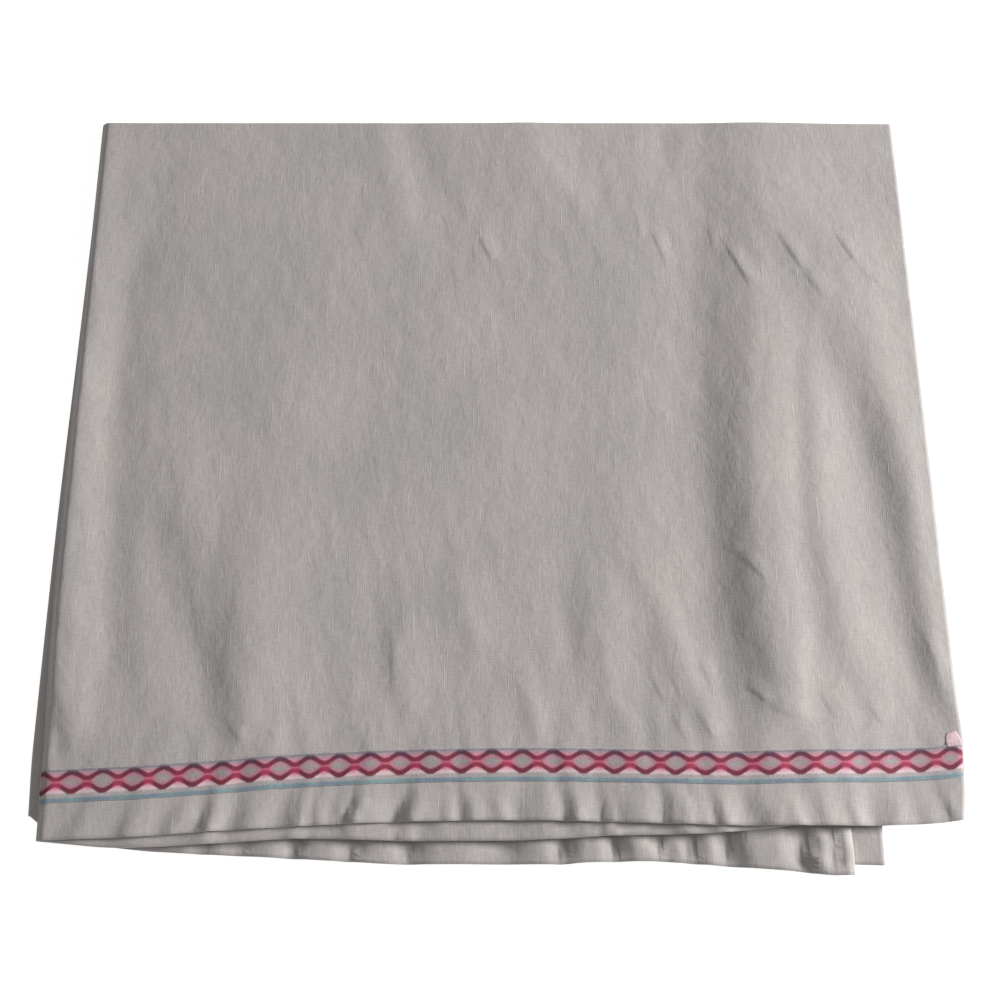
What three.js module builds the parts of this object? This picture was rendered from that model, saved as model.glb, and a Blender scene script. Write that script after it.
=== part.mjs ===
import * as THREE from 'three';

// A square linen tablecloth, folded in four, with a woven ribbon sewn along one hem.
// Millimetres. Z is up. The cloth rests on z = 0, its open hems look towards -Y,
// its last fold lies at the back, towards +Y, and its first fold at the left, towards -X.
// The four layers from the top down are called top, second, third and bottom.

// Sizes of the cloth
const CLOTH_THICK = 1.2;
const HEM_EXTRA = 0.45;          // a turned hem is this much thicker, on the wrong side
const SIDE_HEM_DEPTH = 12;
const PAIR_GAP = 1.8;            // between the two layers that the first fold joins
const MIDDLE_GAP = 2.6;          // between the upper pair of layers and the lower pair
const BACK_EDGE = 358.4;

// Sizes of the ribbon
const RIBBON_THICK = 0.8;
const RIBBON_LIFT = 0.42;        // between the cloth and the ribbon
const RIBBON_WIDE = 28;
const RIBBON_END = 1.5;          // from the ribbon's end to the edge of the cloth
const RIBBON_TAB = 10;           // the turned end stands out this far at the side hem

// How finely the sheet is divided
const INNER_COLUMNS = 20;
const FOLD_STEPS = 5;
const BACK_STEPS = 5;

// Everything below follows from the sizes above
const FOLD_RADIUS = (CLOTH_THICK + PAIR_GAP) / 2;
const PAIR_THICK = 2 * CLOTH_THICK + PAIR_GAP;
const BACK_RADIUS = (PAIR_THICK + MIDDLE_GAP) / 2;
const STACK_HEIGHT = 2 * BACK_RADIUS + PAIR_THICK;
const FOLD_OUTSIDE = FOLD_RADIUS + CLOTH_THICK / 2;

// Left fold of each pair: x of its outside along the depth (0 is the front, 1 the back)
const LEFT_FOLD = {
  upper: [
    { depth: 0.00, x: -377.3 },
    { depth: 0.10, x: -378.7 },
    { depth: 0.22, x: -382.5 },
    { depth: 0.33, x: -384.5 },
    { depth: 1.00, x: -385.5 },
  ],
  lower: [
    { depth: 0.00, x: -387.9 },
    { depth: 0.10, x: -390.3 },
    { depth: 0.33, x: -390.5 },
    { depth: 0.70, x: -387.8 },
    { depth: 1.00, x: -385.5 },
  ],
};

// Right-hand edge of each layer along the depth
const RIGHT_EDGE = {
  top: [
    { depth: 0.00, x: 385.4 },
    { depth: 0.04, x: 388.6 },
    { depth: 0.10, x: 391.0 },
    { depth: 0.15, x: 389.6 },
    { depth: 0.50, x: 387.4 },
    { depth: 1.00, x: 384.8 },
  ],
  second: [
    { depth: 0.00, x: 251.4 },
    { depth: 0.30, x: 249.0 },
    { depth: 1.00, x: 240.0 },
  ],
  third: [
    { depth: 0.00, x: 292.0 },
    { depth: 0.20, x: 290.0 },
    { depth: 1.00, x: 240.0 },
  ],
  bottom: [
    { depth: 0.00, x: 317.7 },
    { depth: 0.15, x: 318.5 },
    { depth: 1.00, x: 384.8 },
  ],
};

// Front hem of each layer across the width
const FRONT_HEM = {
  top: [
    { x: -377, y: -344.9 },
    { x: -304, y: -342.4 },
    { x: -247, y: -338.3 },
    { x: -194, y: -335.0 },
    { x: -129, y: -331.7 },
    { x: -63, y: -329.3 },
    { x: 17, y: -328.4 },
    { x: 150, y: -331.3 },
    { x: 200, y: -332.6 },
    { x: 290, y: -332.2 },
    { x: 354, y: -329.6 },
    { x: 372, y: -328.0 },
    { x: 386, y: -326.2 },
  ],
  second: [
    { x: -377, y: -344.9 },
    { x: -306, y: -350.1 },
    { x: -237, y: -346.8 },
    { x: -156, y: -342.7 },
    { x: -65, y: -344.6 },
    { x: 0, y: -344.4 },
    { x: 52, y: -342.7 },
    { x: 93, y: -340.3 },
    { x: 167, y: -338.6 },
    { x: 212, y: -335.4 },
    { x: 234, y: -333.0 },
    { x: 251, y: -329.5 },
  ],
  third: [
    { x: -388, y: -321.5 },
    { x: -372, y: -333.0 },
    { x: -340, y: -345.0 },
    { x: -285, y: -351.8 },
    { x: -190, y: -356.7 },
    { x: -120, y: -360.4 },
    { x: -79, y: -362.4 },
    { x: 52, y: -362.4 },
    { x: 76, y: -360.8 },
    { x: 125, y: -359.9 },
    { x: 166, y: -362.4 },
    { x: 199, y: -364.8 },
    { x: 245, y: -368.1 },
    { x: 278, y: -371.3 },
    { x: 292, y: -371.3 },
  ],
  bottom: [
    { x: -388, y: -321.5 },
    { x: -372, y: -330.0 },
    { x: -300, y: -341.0 },
    { x: -100, y: -354.0 },
    { x: 120, y: -356.5 },
    { x: 240, y: -360.5 },
    { x: 318, y: -362.8 },
  ],
};

// Distance from the hem edge to the ribbon's near edge
const RIBBON_INSET = [
  { x: -377, inset: 30.2 },
  { x: -310, inset: 31.5 },
  { x: -180, inset: 32.6 },
  { x: 0, inset: 32.5 },
  { x: 200, inset: 34.2 },
  { x: 300, inset: 36.2 },
  { x: 384, inset: 36.2 },
];

// Troughs and ridges of the top layer. Each follows a line of points and lifts the cloth by
// its height (or lowers it), fading out over a width of its own on the left and on the right.
const SOFT_FOLDS = [
  {
    name: 'main ridge, over the edges of the second and third layers',
    line: [
      { x: 247, y: 345, left: 40, right: 40, height: 1.6 },
      { x: 245, y: 243, left: 40, right: 36, height: 2.5 },
      { x: 242, y: 156, left: 38, right: 38, height: 3.1 },
      { x: 239, y: 100, left: 36, right: 50, height: 3.8 },
      { x: 236, y: 53, left: 34, right: 60, height: 4.4 },
      { x: 232, y: -26, left: 32, right: 56, height: 4.6 },
      { x: 233, y: -101, left: 30, right: 52, height: 4.9 },
      { x: 236, y: -156, left: 29, right: 46, height: 4.9 },
      { x: 243, y: -200, left: 30, right: 34, height: 4.2 },
      { x: 240, y: -232, left: 28, right: 28, height: 2.4 },
      { x: 232, y: -258, left: 22, right: 20, height: 0.9 },
    ],
  },
  {
    name: 'hollow to the left of the main ridge',
    line: [
      { x: 192, y: 345, left: 36, right: 22, height: -0.8 },
      { x: 186, y: 243, left: 42, right: 22, height: -1.2 },
      { x: 180, y: 156, left: 38, right: 24, height: -1.3 },
      { x: 178, y: 53, left: 42, right: 26, height: -1.8 },
      { x: 184, y: -101, left: 34, right: 24, height: -1.8 },
      { x: 192, y: -201, left: 18, right: 26, height: -1.5 },
      { x: 199, y: -235, left: 14, right: 22, height: -0.8 },
    ],
  },
  {
    name: 'trough to the right of the main ridge',
    line: [
      { x: 274, y: 140, left: 16, right: 14, height: -0.2 },
      { x: 272, y: 20, left: 15, right: 14, height: -0.9 },
      { x: 268, y: -45, left: 15, right: 14, height: -0.9 },
      { x: 273, y: -156, left: 15, right: 14, height: -1.3 },
      { x: 271, y: -210, left: 13, right: 13, height: -1 },
      { x: 272, y: -240, left: 11, right: 11, height: -0.5 },
    ],
  },
  {
    name: 'ridge to the right of that trough',
    line: [
      { x: 282, y: 140, left: 14, right: 18, height: 0.3 },
      { x: 289, y: 60, left: 13, right: 20, height: 1.1 },
      { x: 286, y: -45, left: 13, right: 24, height: 1.1 },
      { x: 296, y: -138, left: 15, right: 24, height: 1.6 },
      { x: 306, y: -176, left: 18, right: 22, height: 1.7 },
      { x: 319, y: -218, left: 16, right: 16, height: 1.5 },
      { x: 326, y: -242, left: 12, right: 12, height: 0.9 },
    ],
  },
  {
    name: 'curved trough at the right',
    line: [
      { x: 258, y: 215, left: 18, right: 18, height: -0.4 },
      { x: 268, y: 175, left: 20, right: 22, height: -0.8 },
      { x: 284, y: 135, left: 24, right: 24, height: -1.1 },
      { x: 306, y: 88, left: 26, right: 24, height: -1.5 },
      { x: 328, y: 25, left: 28, right: 20, height: -1.8 },
      { x: 340, y: -45, left: 30, right: 16, height: -1.8 },
      { x: 345, y: -101, left: 30, right: 14, height: -1.3 },
      { x: 349, y: -156, left: 26, right: 13, height: -1.3 },
      { x: 356, y: -186, left: 20, right: 12, height: -1.5 },
      { x: 363, y: -210, left: 14, right: 12, height: -1.4 },
      { x: 372, y: -234, left: 12, right: 10, height: -0.7 },
    ],
  },
  {
    name: 'ridge along the side hem',
    line: [
      { x: 318, y: 268, left: 46, right: 50, height: 0.8 },
      { x: 326, y: 212, left: 52, right: 50, height: 2 },
      { x: 332, y: 160, left: 52, right: 42, height: 3.1 },
      { x: 347, y: 92, left: 38, right: 30, height: 3.7 },
      { x: 361, y: 25, left: 28, right: 20, height: 3.9 },
      { x: 367, y: -45, left: 22, right: 16, height: 3.6 },
      { x: 370, y: -156, left: 16, right: 16, height: 2.8 },
      { x: 374, y: -195, left: 15, right: 13, height: 3 },
      { x: 380, y: -218, left: 13, right: 11, height: 2.2 },
      { x: 386, y: -244, left: 12, right: 10, height: 0.6 },
    ],
  },
  {
    name: 'puffed strip along the left fold',
    line: [
      { x: -382, y: 345, left: 20, right: 20, height: 0.7 },
      { x: -382, y: 268, left: 20, right: 20, height: 1.6 },
      { x: -382, y: 60, left: 22, right: 22, height: 2.3 },
      { x: -380, y: -50, left: 22, right: 22, height: 2 },
      { x: -374, y: -120, left: 22, right: 22, height: 2.1 },
      { x: -362, y: -245, left: 20, right: 20, height: 1.7 },
    ],
  },
  {
    name: 'pressed line behind that strip',
    line: [
      { x: -318, y: 320, left: 16, right: 16, height: -0.3 },
      { x: -324, y: 250, left: 18, right: 18, height: -0.6 },
      { x: -344, y: 180, left: 16, right: 20, height: -1.2 },
      { x: -346, y: 50, left: 16, right: 20, height: -1.4 },
      { x: -334, y: -120, left: 16, right: 20, height: -1.4 },
      { x: -330, y: -190, left: 16, right: 18, height: -0.9 },
      { x: -326, y: -235, left: 16, right: 16, height: -0.2 },
    ],
  },
  {
    name: 'left ridge',
    line: [
      { x: -206, y: 0, left: 24, right: 30, height: 0.3 },
      { x: -211, y: -60, left: 26, right: 34, height: 1 },
      { x: -214, y: -110, left: 30, right: 40, height: 2.1 },
      { x: -215, y: -156, left: 24, right: 44, height: 2.6 },
      { x: -214, y: -210, left: 20, right: 46, height: 2.5 },
      { x: -212, y: -250, left: 16, right: 40, height: 1.4 },
    ],
  },
  {
    name: 'hollow beside the left ridge',
    line: [
      { x: -302, y: -70, left: 14, right: 18, height: -0.6 },
      { x: -294, y: -110, left: 16, right: 30, height: -1.4 },
      { x: -277, y: -150, left: 20, right: 26, height: -1.7 },
      { x: -250, y: -215, left: 18, right: 16, height: -1.3 },
      { x: -240, y: -255, left: 14, right: 12, height: -0.7 },
    ],
  },
  {
    name: 'slanting swell to the left of it',
    line: [
      { x: -280, y: -10, left: 18, right: 20, height: 0.5 },
      { x: -272, y: -60, left: 18, right: 20, height: 0.9 },
      { x: -262, y: -88, left: 14, right: 14, height: 0.5 },
    ],
  },
  {
    name: 'broad ridge at the back',
    line: [
      { x: 34, y: 345, left: 40, right: 22, height: 1.3 },
      { x: 42, y: 310, left: 40, right: 22, height: 1.5 },
      { x: 72, y: 262, left: 36, right: 20, height: 1.2 },
      { x: 84, y: 222, left: 30, right: 20, height: 0.5 },
    ],
  },
  {
    name: 'trough at the back',
    line: [
      { x: -84, y: 345, left: 18, right: 20, height: -0.8 },
      { x: -76, y: 310, left: 18, right: 22, height: -1.3 },
      { x: -62, y: 255, left: 20, right: 26, height: -1 },
      { x: -46, y: 195, left: 20, right: 24, height: -0.4 },
    ],
  },
  {
    name: 'slanting fold, right',
    line: [
      { x: 124, y: -100, left: 14, right: 13, height: 0.2 },
      { x: 146, y: -150, left: 13, right: 12, height: 0.8 },
      { x: 163, y: -218, left: 14, right: 12, height: 0.9 },
      { x: 180, y: -246, left: 14, right: 12, height: 0.6 },
    ],
  },
  {
    name: 'dent beside it',
    line: [
      { x: 110, y: -118, left: 14, right: 13, height: -0.3 },
      { x: 118, y: -148, left: 14, right: 14, height: -0.5 },
      { x: 132, y: -216, left: 12, right: 12, height: -0.5 },
      { x: 146, y: -238, left: 10, right: 10, height: -0.2 },
    ],
  },
  {
    name: 'slanting fold, middle',
    line: [
      { x: 84, y: -140, left: 16, right: 13, height: 0.4 },
      { x: 90, y: -175, left: 16, right: 12, height: 0.8 },
      { x: 94, y: -214, left: 15, right: 12, height: 0.8 },
      { x: 108, y: -240, left: 12, right: 12, height: 0.5 },
    ],
  },
  {
    name: 'dent beside the middle fold',
    line: [
      { x: 54, y: -110, left: 14, right: 16, height: -0.6 },
      { x: 58, y: -145, left: 13, right: 16, height: -0.9 },
      { x: 60, y: -185, left: 12, right: 14, height: -0.5 },
    ],
  },
  {
    name: 'slanting fold, left',
    line: [
      { x: -36, y: -110, left: 12, right: 14, height: 0.5 },
      { x: -27, y: -145, left: 12, right: 14, height: 0.9 },
      { x: -16, y: -180, left: 12, right: 12, height: 0.7 },
    ],
  },
  {
    name: 'cloth held up by the ribbon',
    line: [
      { x: -330, y: -278, left: 24, right: 24, height: 0.4 },
      { x: -200, y: -264, left: 24, right: 24, height: 0.9 },
      { x: 0, y: -258, left: 24, right: 24, height: 1.1 },
      { x: 200, y: -260, left: 24, right: 24, height: 1 },
      { x: 384, y: -256, left: 24, right: 24, height: 0.6 },
    ],
  },
];

// Small upright pleats where the hems gather: x, half width and lift, front to back fading
const HEM_PLEATS = {
  top: [
    { x: -300, width: 12, height: 0.6 },
    { x: -268, width: 14, height: -0.5 },
    { x: -231, width: 11, height: 0.9 },
    { x: -197, width: 11, height: 0.6 },
    { x: -176, width: 11, height: -0.8 },
    { x: -113, width: 13, height: 0.8 },
    { x: -78, width: 13, height: -1.1 },
    { x: -44, width: 15, height: 0.6 },
    { x: 4, width: 12, height: 0.5 },
    { x: 37, width: 12, height: 0.5 },
    { x: 63, width: 11, height: 0.7 },
    { x: 86, width: 12, height: -0.7 },
    { x: 121, width: 12, height: 0.8 },
    { x: 152, width: 15, height: 1 },
    { x: 205, width: 11, height: -0.6 },
    { x: 230, width: 13, height: 1.1 },
    { x: 287, width: 12, height: -0.6 },
    { x: 311, width: 10, height: -1.2 },
    { x: 331, width: 11, height: 1.1 },
    { x: 369, width: 10, height: -0.6 },
  ],
  second: [
    { x: -270, width: 18, height: 0.8 },
    { x: -120, width: 20, height: 0.9 },
    { x: 10, width: 22, height: 0.8 },
    { x: 140, width: 18, height: 0.9 },
  ],
  third: [
    { x: -222, width: 16, height: 0.5 },
    { x: -190, width: 14, height: 0.8 },
    { x: -161, width: 12, height: -0.8 },
    { x: -136, width: 13, height: 0.8 },
    { x: -96, width: 13, height: 0.5 },
    { x: -68, width: 12, height: -1 },
    { x: -30, width: 18, height: 0.9 },
    { x: 38, width: 16, height: 0.8 },
    { x: 76, width: 12, height: 0.8 },
    { x: 98, width: 12, height: -1 },
    { x: 120, width: 12, height: 0.8 },
    { x: 160, width: 12, height: -0.8 },
    { x: 190, width: 12, height: -0.8 },
    { x: 220, width: 15, height: 1 },
    { x: 251, width: 12, height: -0.8 },
  ],
};
const PLEAT_REACH = 60;          // how far the hem pleats run back from the hem
const PLEAT_FULLNESS = 1.5;      // all pleats are this much taller than the table says
const FRONT_LINE = -345;
const LEAST_GAP = 0.8;           // between two layers wherever they press together
const LEAST_MIDDLE_GAP = 1.8;    // between the pairs, where the ribbon passes under the second layer

// Beyond the free edge of a lower layer the layers above it sink
const SINK_STARTS = 4;
const SINK_REACH = { second: 84, third: 74, bottom: 34 };
const SINK_SHARE = [             // share of the missing layer's room that closes, by depth
  { depth: 0.00, share: 0.90 },
  { depth: 0.10, share: 0.80 },
  { depth: 0.22, share: 0.55 },
  { depth: 0.50, share: 0.35 },
  { depth: 1.00, share: 0.15 },
];

// Each left fold is a roll that reaches its height a little way in
const ROLL_REACH = 9;
const ROLL_PRESSED = 0.55;       // share of the pair's gap that is left right at the fold
const ROLL_HEIGHT = 1.4;         // the upper pair opens by this much behind its roll

// Towards the front hems the upper pair stands off the lower pair, which lies flatter
const MOUTH_REACH = 110;
const MOUTH_OPEN = 2.6;
const MOUTH_FLAT = 0.55;         // share of the lower pair's gap that closes there
const EDGE_REACH = 70;
const EDGE_FLAT = 0.3;           // share of the gaps that closes at the open right-hand side

// Reads a table at a place: a straight line between the two rows around it
function readTable(table, keyName, valueName, place) {
  if (place <= table[0][keyName]) return table[0][valueName];
  for (let i = 1; i < table.length; i += 1) {
    const before = table[i - 1];
    const after = table[i];
    if (place <= after[keyName]) {
      const share = (place - before[keyName]) / (after[keyName] - before[keyName]);
      return before[valueName] + (after[valueName] - before[valueName]) * share;
    }
  }
  return table[table.length - 1][valueName];
}

function mix(from, to, share) {
  return from + (to - from) * share;
}

// Lift of one fold at a place, read at the nearest point of its line
function foldLift(line, x, y) {
  let nearest = Infinity;
  let lift = 0;
  for (let i = 1; i < line.length; i += 1) {
    const from = line[i - 1];
    const to = line[i];
    const runX = to.x - from.x;
    const runY = to.y - from.y;
    const along = ((x - from.x) * runX + (y - from.y) * runY) / (runX * runX + runY * runY);
    const share = Math.min(1, Math.max(0, along));
    const distance = Math.hypot(x - from.x - runX * share, y - from.y - runY * share);
    if (distance < nearest) {
      nearest = distance;
      const side = x < from.x + runX * share ? 'left' : 'right';
      const away = distance / mix(from[side], to[side], share);
      lift = mix(from.height, to.height, share) * Math.exp(-away * away);
    }
  }
  return lift;
}

function softLift(x, y) {
  return SOFT_FOLDS.reduce((sum, fold) => sum + foldLift(fold.line, x, y), 0);
}

function pleatLift(pleats, x, y) {
  const back = Math.max(0, y - FRONT_LINE) / PLEAT_REACH;
  const fade = Math.exp(-back * back);
  let lift = 0;
  for (const row of pleats) {
    const away = (x - row.x) / row.width;
    lift += row.height * Math.exp(-away * away);
  }
  return lift * fade * PLEAT_FULLNESS;
}

function smoothStep(value) {
  const held = Math.min(1, Math.max(0, value));
  return held * held * (3 - 2 * held);
}

function depthOf(y) {
  return Math.min(1, Math.max(0, (y - FRONT_LINE) / (BACK_EDGE - FRONT_LINE)));
}

// 0 where a layer lies at this place, up to 1 well beyond its free edge
function missing(layer, x, y) {
  const edge = readTable(RIGHT_EDGE[layer], 'depth', 'x', depthOf(y));
  const closed = readTable(SINK_SHARE, 'depth', 'share', depthOf(y));
  return closed * smoothStep((x - edge - SINK_STARTS) / SINK_REACH[layer]);
}

function nearness(distance, reach) {
  const away = distance / reach;
  return Math.exp(-away * away);
}

// 0 at a fold, rising as a quarter of an ellipse to 1 at the end of its roll
function rollRise(inward) {
  const held = Math.min(1, Math.max(0, inward / ROLL_REACH));
  return Math.sqrt(1 - (1 - held) ** 2);
}

// Height of each room in the stack at a place
function roomSizes(x, y) {
  const depth = depthOf(y);
  const right = EDGE_FLAT * nearness(RIGHT_EDGE.top[0].x - x, EDGE_REACH);
  const front = nearness(y - FRONT_LINE, MOUTH_REACH);
  const foldX = (pair) => readTable(LEFT_FOLD[pair], 'depth', 'x', depth) + FOLD_OUTSIDE;
  const rise = rollRise(x - foldX('upper'));
  const lowerRise = rollRise(x - foldX('lower'));
  const second = pleatLift(HEM_PLEATS.second, x, y);
  const third = pleatLift(HEM_PLEATS.third, x, y);
  const top = (softLift(x, y) + pleatLift(HEM_PLEATS.top, x, y)) * rise;
  const noSecond = missing('second', x, y);
  const noThird = missing('third', x, y);
  const lowerPressed = mix(ROLL_PRESSED, 1, lowerRise) * (1 - MOUTH_FLAT * front - right);
  const upperPressed = mix(ROLL_PRESSED, 1, rise) * (1 - right);
  const lower = (PAIR_GAP * lowerPressed + third) * (1 - 0.7 * noThird);
  const middle = MIDDLE_GAP + MOUTH_OPEN * front * lowerRise + second - third;
  const upper = PAIR_GAP * upperPressed + ROLL_HEIGHT * rise + top - second;
  const leastMiddle = mix(LEAST_MIDDLE_GAP, LEAST_GAP, noSecond);
  return {
    bottom: CLOTH_THICK * (1 - missing('bottom', x, y)),
    lowerGap: Math.max(LEAST_GAP, lower),
    third: CLOTH_THICK * (1 - noThird),
    middleGap: Math.max(leastMiddle, middle * (1 - 0.75 * Math.max(noSecond, noThird))),
    second: CLOTH_THICK * (1 - noSecond),
    upperGap: Math.max(LEAST_GAP, upper * (1 - 0.5 * noSecond)),
  };
}

// The rooms of the stack from the bottom up, by height before they open or close
const ROOMS = [
  { name: 'bottom', from: 0, size: CLOTH_THICK },
  { name: 'lowerGap', from: CLOTH_THICK, size: PAIR_GAP },
  { name: 'third', from: CLOTH_THICK + PAIR_GAP, size: CLOTH_THICK },
  { name: 'middleGap', from: PAIR_THICK, size: MIDDLE_GAP },
  { name: 'second', from: PAIR_THICK + MIDDLE_GAP, size: CLOTH_THICK },
  { name: 'upperGap', from: PAIR_THICK + MIDDLE_GAP + CLOTH_THICK, size: PAIR_GAP },
];

function settle(x, y, height) {
  const sizes = roomSizes(x, y);
  let settled = height;
  for (const room of ROOMS) {
    const inside = Math.min(room.size, Math.max(0, height - room.from));
    settled += (sizes[room.name] / room.size - 1) * inside;
  }
  return settled;
}

// Columns cross the sheet from the free side hem of the top layer, round the left fold,
// to the free edge of the second layer. In the lower pair they run bottom, fold, third.
const SIDE_HEM_SHARE = SIDE_HEM_DEPTH / 768;
const OUTER_COLUMNS = [          // share of the way to the fold, and columns up to there
  { upTo: SIDE_HEM_SHARE, columns: 1 },
  { upTo: 0.290, columns: 12 },
  { upTo: 0.500, columns: 7 },
  { upTo: 0.750, columns: 7 },
  { upTo: 0.960, columns: 8 },
  { upTo: 1 - 8 / 768, columns: 2 },
  { upTo: 1 - 2 / 768, columns: 1 },
];
const INNER_START = 3 / 628;     // the first inner column beyond the fold

function makeColumns() {
  const columns = [{ part: 'outer', along: 0 }];
  let from = 0;
  for (const stretch of OUTER_COLUMNS) {
    for (let i = 1; i <= stretch.columns; i += 1) {
      columns.push({ part: 'outer', along: mix(from, stretch.upTo, i / stretch.columns) });
    }
    from = stretch.upTo;
  }
  for (let i = 0; i <= FOLD_STEPS; i += 1) {
    columns.push({ part: 'fold', angle: Math.PI * i / FOLD_STEPS });
  }
  for (let i = 0; i <= INNER_COLUMNS; i += 1) {
    columns.push({ part: 'inner', along: mix(INNER_START, 1, i / INNER_COLUMNS) });
  }
  return columns;
}

// Rows follow the sheet from the upper front hem, round the back fold, to the lower front hem
const HEM_ROWS = [
  { inset: 0, past: 0 },
  { inset: 0.22, past: 0 },
  { inset: 0.60, past: 0 },
  { inset: 1, past: 0 },
  { inset: 1, past: RIBBON_WIDE / 2 },
  { inset: 1, past: RIBBON_WIDE },
];
const BODY_ROWS = [              // share of the way to the back fold, and rows up to there
  { upTo: 0.24, rows: 5 },
  { upTo: 0.93, rows: 8 },
];

function makeRows() {
  const rows = [];
  for (const row of HEM_ROWS) {
    rows.push({ pair: 'upper', inset: row.inset, past: row.past, body: 0 });
  }
  let from = 0;
  for (const stretch of BODY_ROWS) {
    for (let i = 1; i <= stretch.rows; i += 1) {
      const body = mix(from, stretch.upTo, i / stretch.rows);
      rows.push({ pair: 'upper', inset: 1, past: RIBBON_WIDE, body });
    }
    from = stretch.upTo;
  }
  for (let i = 0; i <= BACK_STEPS; i += 1) {
    rows.push({ pair: 'back', angle: Math.PI * i / BACK_STEPS });
  }
  const upperRows = rows.filter((row) => row.pair === 'upper').reverse();
  for (const row of upperRows) {
    rows.push({ ...row, pair: 'lower' });
  }
  return rows;
}

function layerName(column, pair) {
  if (pair === 'lower') return column.part === 'outer' ? 'bottom' : 'third';
  return column.part === 'outer' ? 'top' : 'second';
}

// Where a column crosses at a depth: x before the fold's roundness
function columnX(column, pair, depth) {
  const foldX = readTable(LEFT_FOLD[pair], 'depth', 'x', depth) + FOLD_OUTSIDE;
  if (column.part === 'fold') return foldX;
  const edge = readTable(RIGHT_EDGE[layerName(column, pair)], 'depth', 'x', depth);
  return column.part === 'outer' ? mix(edge, foldX, column.along) : mix(foldX, edge, column.along);
}

function frontHemY(column, pair, x) {
  if (column.part === 'fold') return FRONT_HEM[layerName(column, pair)][0].y;
  return readTable(FRONT_HEM[layerName(column, pair)], 'x', 'y', x);
}

function ribbonInset(x) {
  return readTable(RIBBON_INSET, 'x', 'inset', x);
}

// The point of the folded cloth at a column and a row, offset from the middle of its
// thickness towards the right side (positive) or the wrong side (negative)
function clothPoint(column, row, offset) {
  const radius = FOLD_RADIUS + offset;
  let side = radius;
  let bulge = 0;
  if (column.part === 'inner') side = -radius;
  if (column.part === 'fold') {
    side = radius * Math.cos(column.angle);
    bulge = radius * Math.sin(column.angle);
  }
  const middle = STACK_HEIGHT / 2;
  if (row.pair === 'back') {
    const x = columnX(column, 'upper', 1) - bulge;
    const y = BACK_EDGE - middle + (BACK_RADIUS + side) * Math.sin(row.angle);
    const height = middle + (BACK_RADIUS + side) * Math.cos(row.angle);
    return new THREE.Vector3(x, y, settle(x, y, height));
  }
  const frontX = columnX(column, row.pair, 0);
  const hemY = frontHemY(column, row.pair, frontX);
  const start = row.inset * ribbonInset(frontX) + row.past;
  const bodyFrom = hemY + start;
  const bodyTo = BACK_EDGE - middle;
  const y = mix(bodyFrom, bodyTo, row.body);
  const depth = (y - hemY) / (bodyTo - hemY);
  const x = columnX(column, row.pair, depth) - bulge;
  const up = row.pair === 'upper' ? 1 : -1;
  const height = middle + up * (BACK_RADIUS + side);
  return new THREE.Vector3(x, y, settle(x, y, height));
}

// A closed solid between two grids of points that face each other
function solidFromGrids(outside, inside, name, material) {
  const across = outside.length;
  const down = outside[0].length;
  const positions = [];
  const outsideAt = outside.map((line) => line.map((p) => positions.push(p.x, p.y, p.z) / 3 - 1));
  const insideAt = inside.map((line) => line.map((p) => positions.push(p.x, p.y, p.z) / 3 - 1));
  const indices = [];
  const face = (a, b, c, d) => indices.push(a, b, c, a, c, d);
  for (let i = 0; i + 1 < across; i += 1) {
    for (let j = 0; j + 1 < down; j += 1) {
      face(outsideAt[i][j], outsideAt[i][j + 1], outsideAt[i + 1][j + 1], outsideAt[i + 1][j]);
      face(insideAt[i][j], insideAt[i + 1][j], insideAt[i + 1][j + 1], insideAt[i][j + 1]);
    }
  }
  const lastColumn = across - 1;
  const lastRow = down - 1;
  for (let j = 0; j < lastRow; j += 1) {
    face(outsideAt[0][j], insideAt[0][j], insideAt[0][j + 1], outsideAt[0][j + 1]);
    face(outsideAt[lastColumn][j], outsideAt[lastColumn][j + 1],
      insideAt[lastColumn][j + 1], insideAt[lastColumn][j]);
  }
  for (let i = 0; i < lastColumn; i += 1) {
    face(outsideAt[i][0], outsideAt[i + 1][0], insideAt[i + 1][0], insideAt[i][0]);
    face(outsideAt[i][lastRow], insideAt[i][lastRow],
      insideAt[i + 1][lastRow], outsideAt[i + 1][lastRow]);
  }
  const geometry = new THREE.BufferGeometry();
  geometry.setAttribute('position', new THREE.Float32BufferAttribute(positions, 3));
  geometry.setIndex(indices);
  geometry.computeVertexNormals();
  const mesh = new THREE.Mesh(geometry, material);
  mesh.name = name;
  return mesh;
}

function isHem(column, row) {
  const frontHem = row.pair !== 'back' && row.body === 0 && row.past === 0 && row.inset < 1;
  const sideHem = column.part === 'outer' && column.along <= SIDE_HEM_SHARE;
  return frontHem || sideHem;
}

function makeCloth() {
  const columns = makeColumns();
  const rows = makeRows();
  const half = CLOTH_THICK / 2;
  const outside = columns.map((column) => rows.map((row) => clothPoint(column, row, half)));
  const inside = columns.map((column) => rows.map((row) => {
    const extra = isHem(column, row) ? HEM_EXTRA : 0;
    return clothPoint(column, row, -half - extra);
  }));
  const linen = new THREE.MeshStandardMaterial({ color: 0xa7a29c, roughness: 0.95 });
  return solidFromGrids(outside, inside, 'cloth', linen);
}

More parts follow.
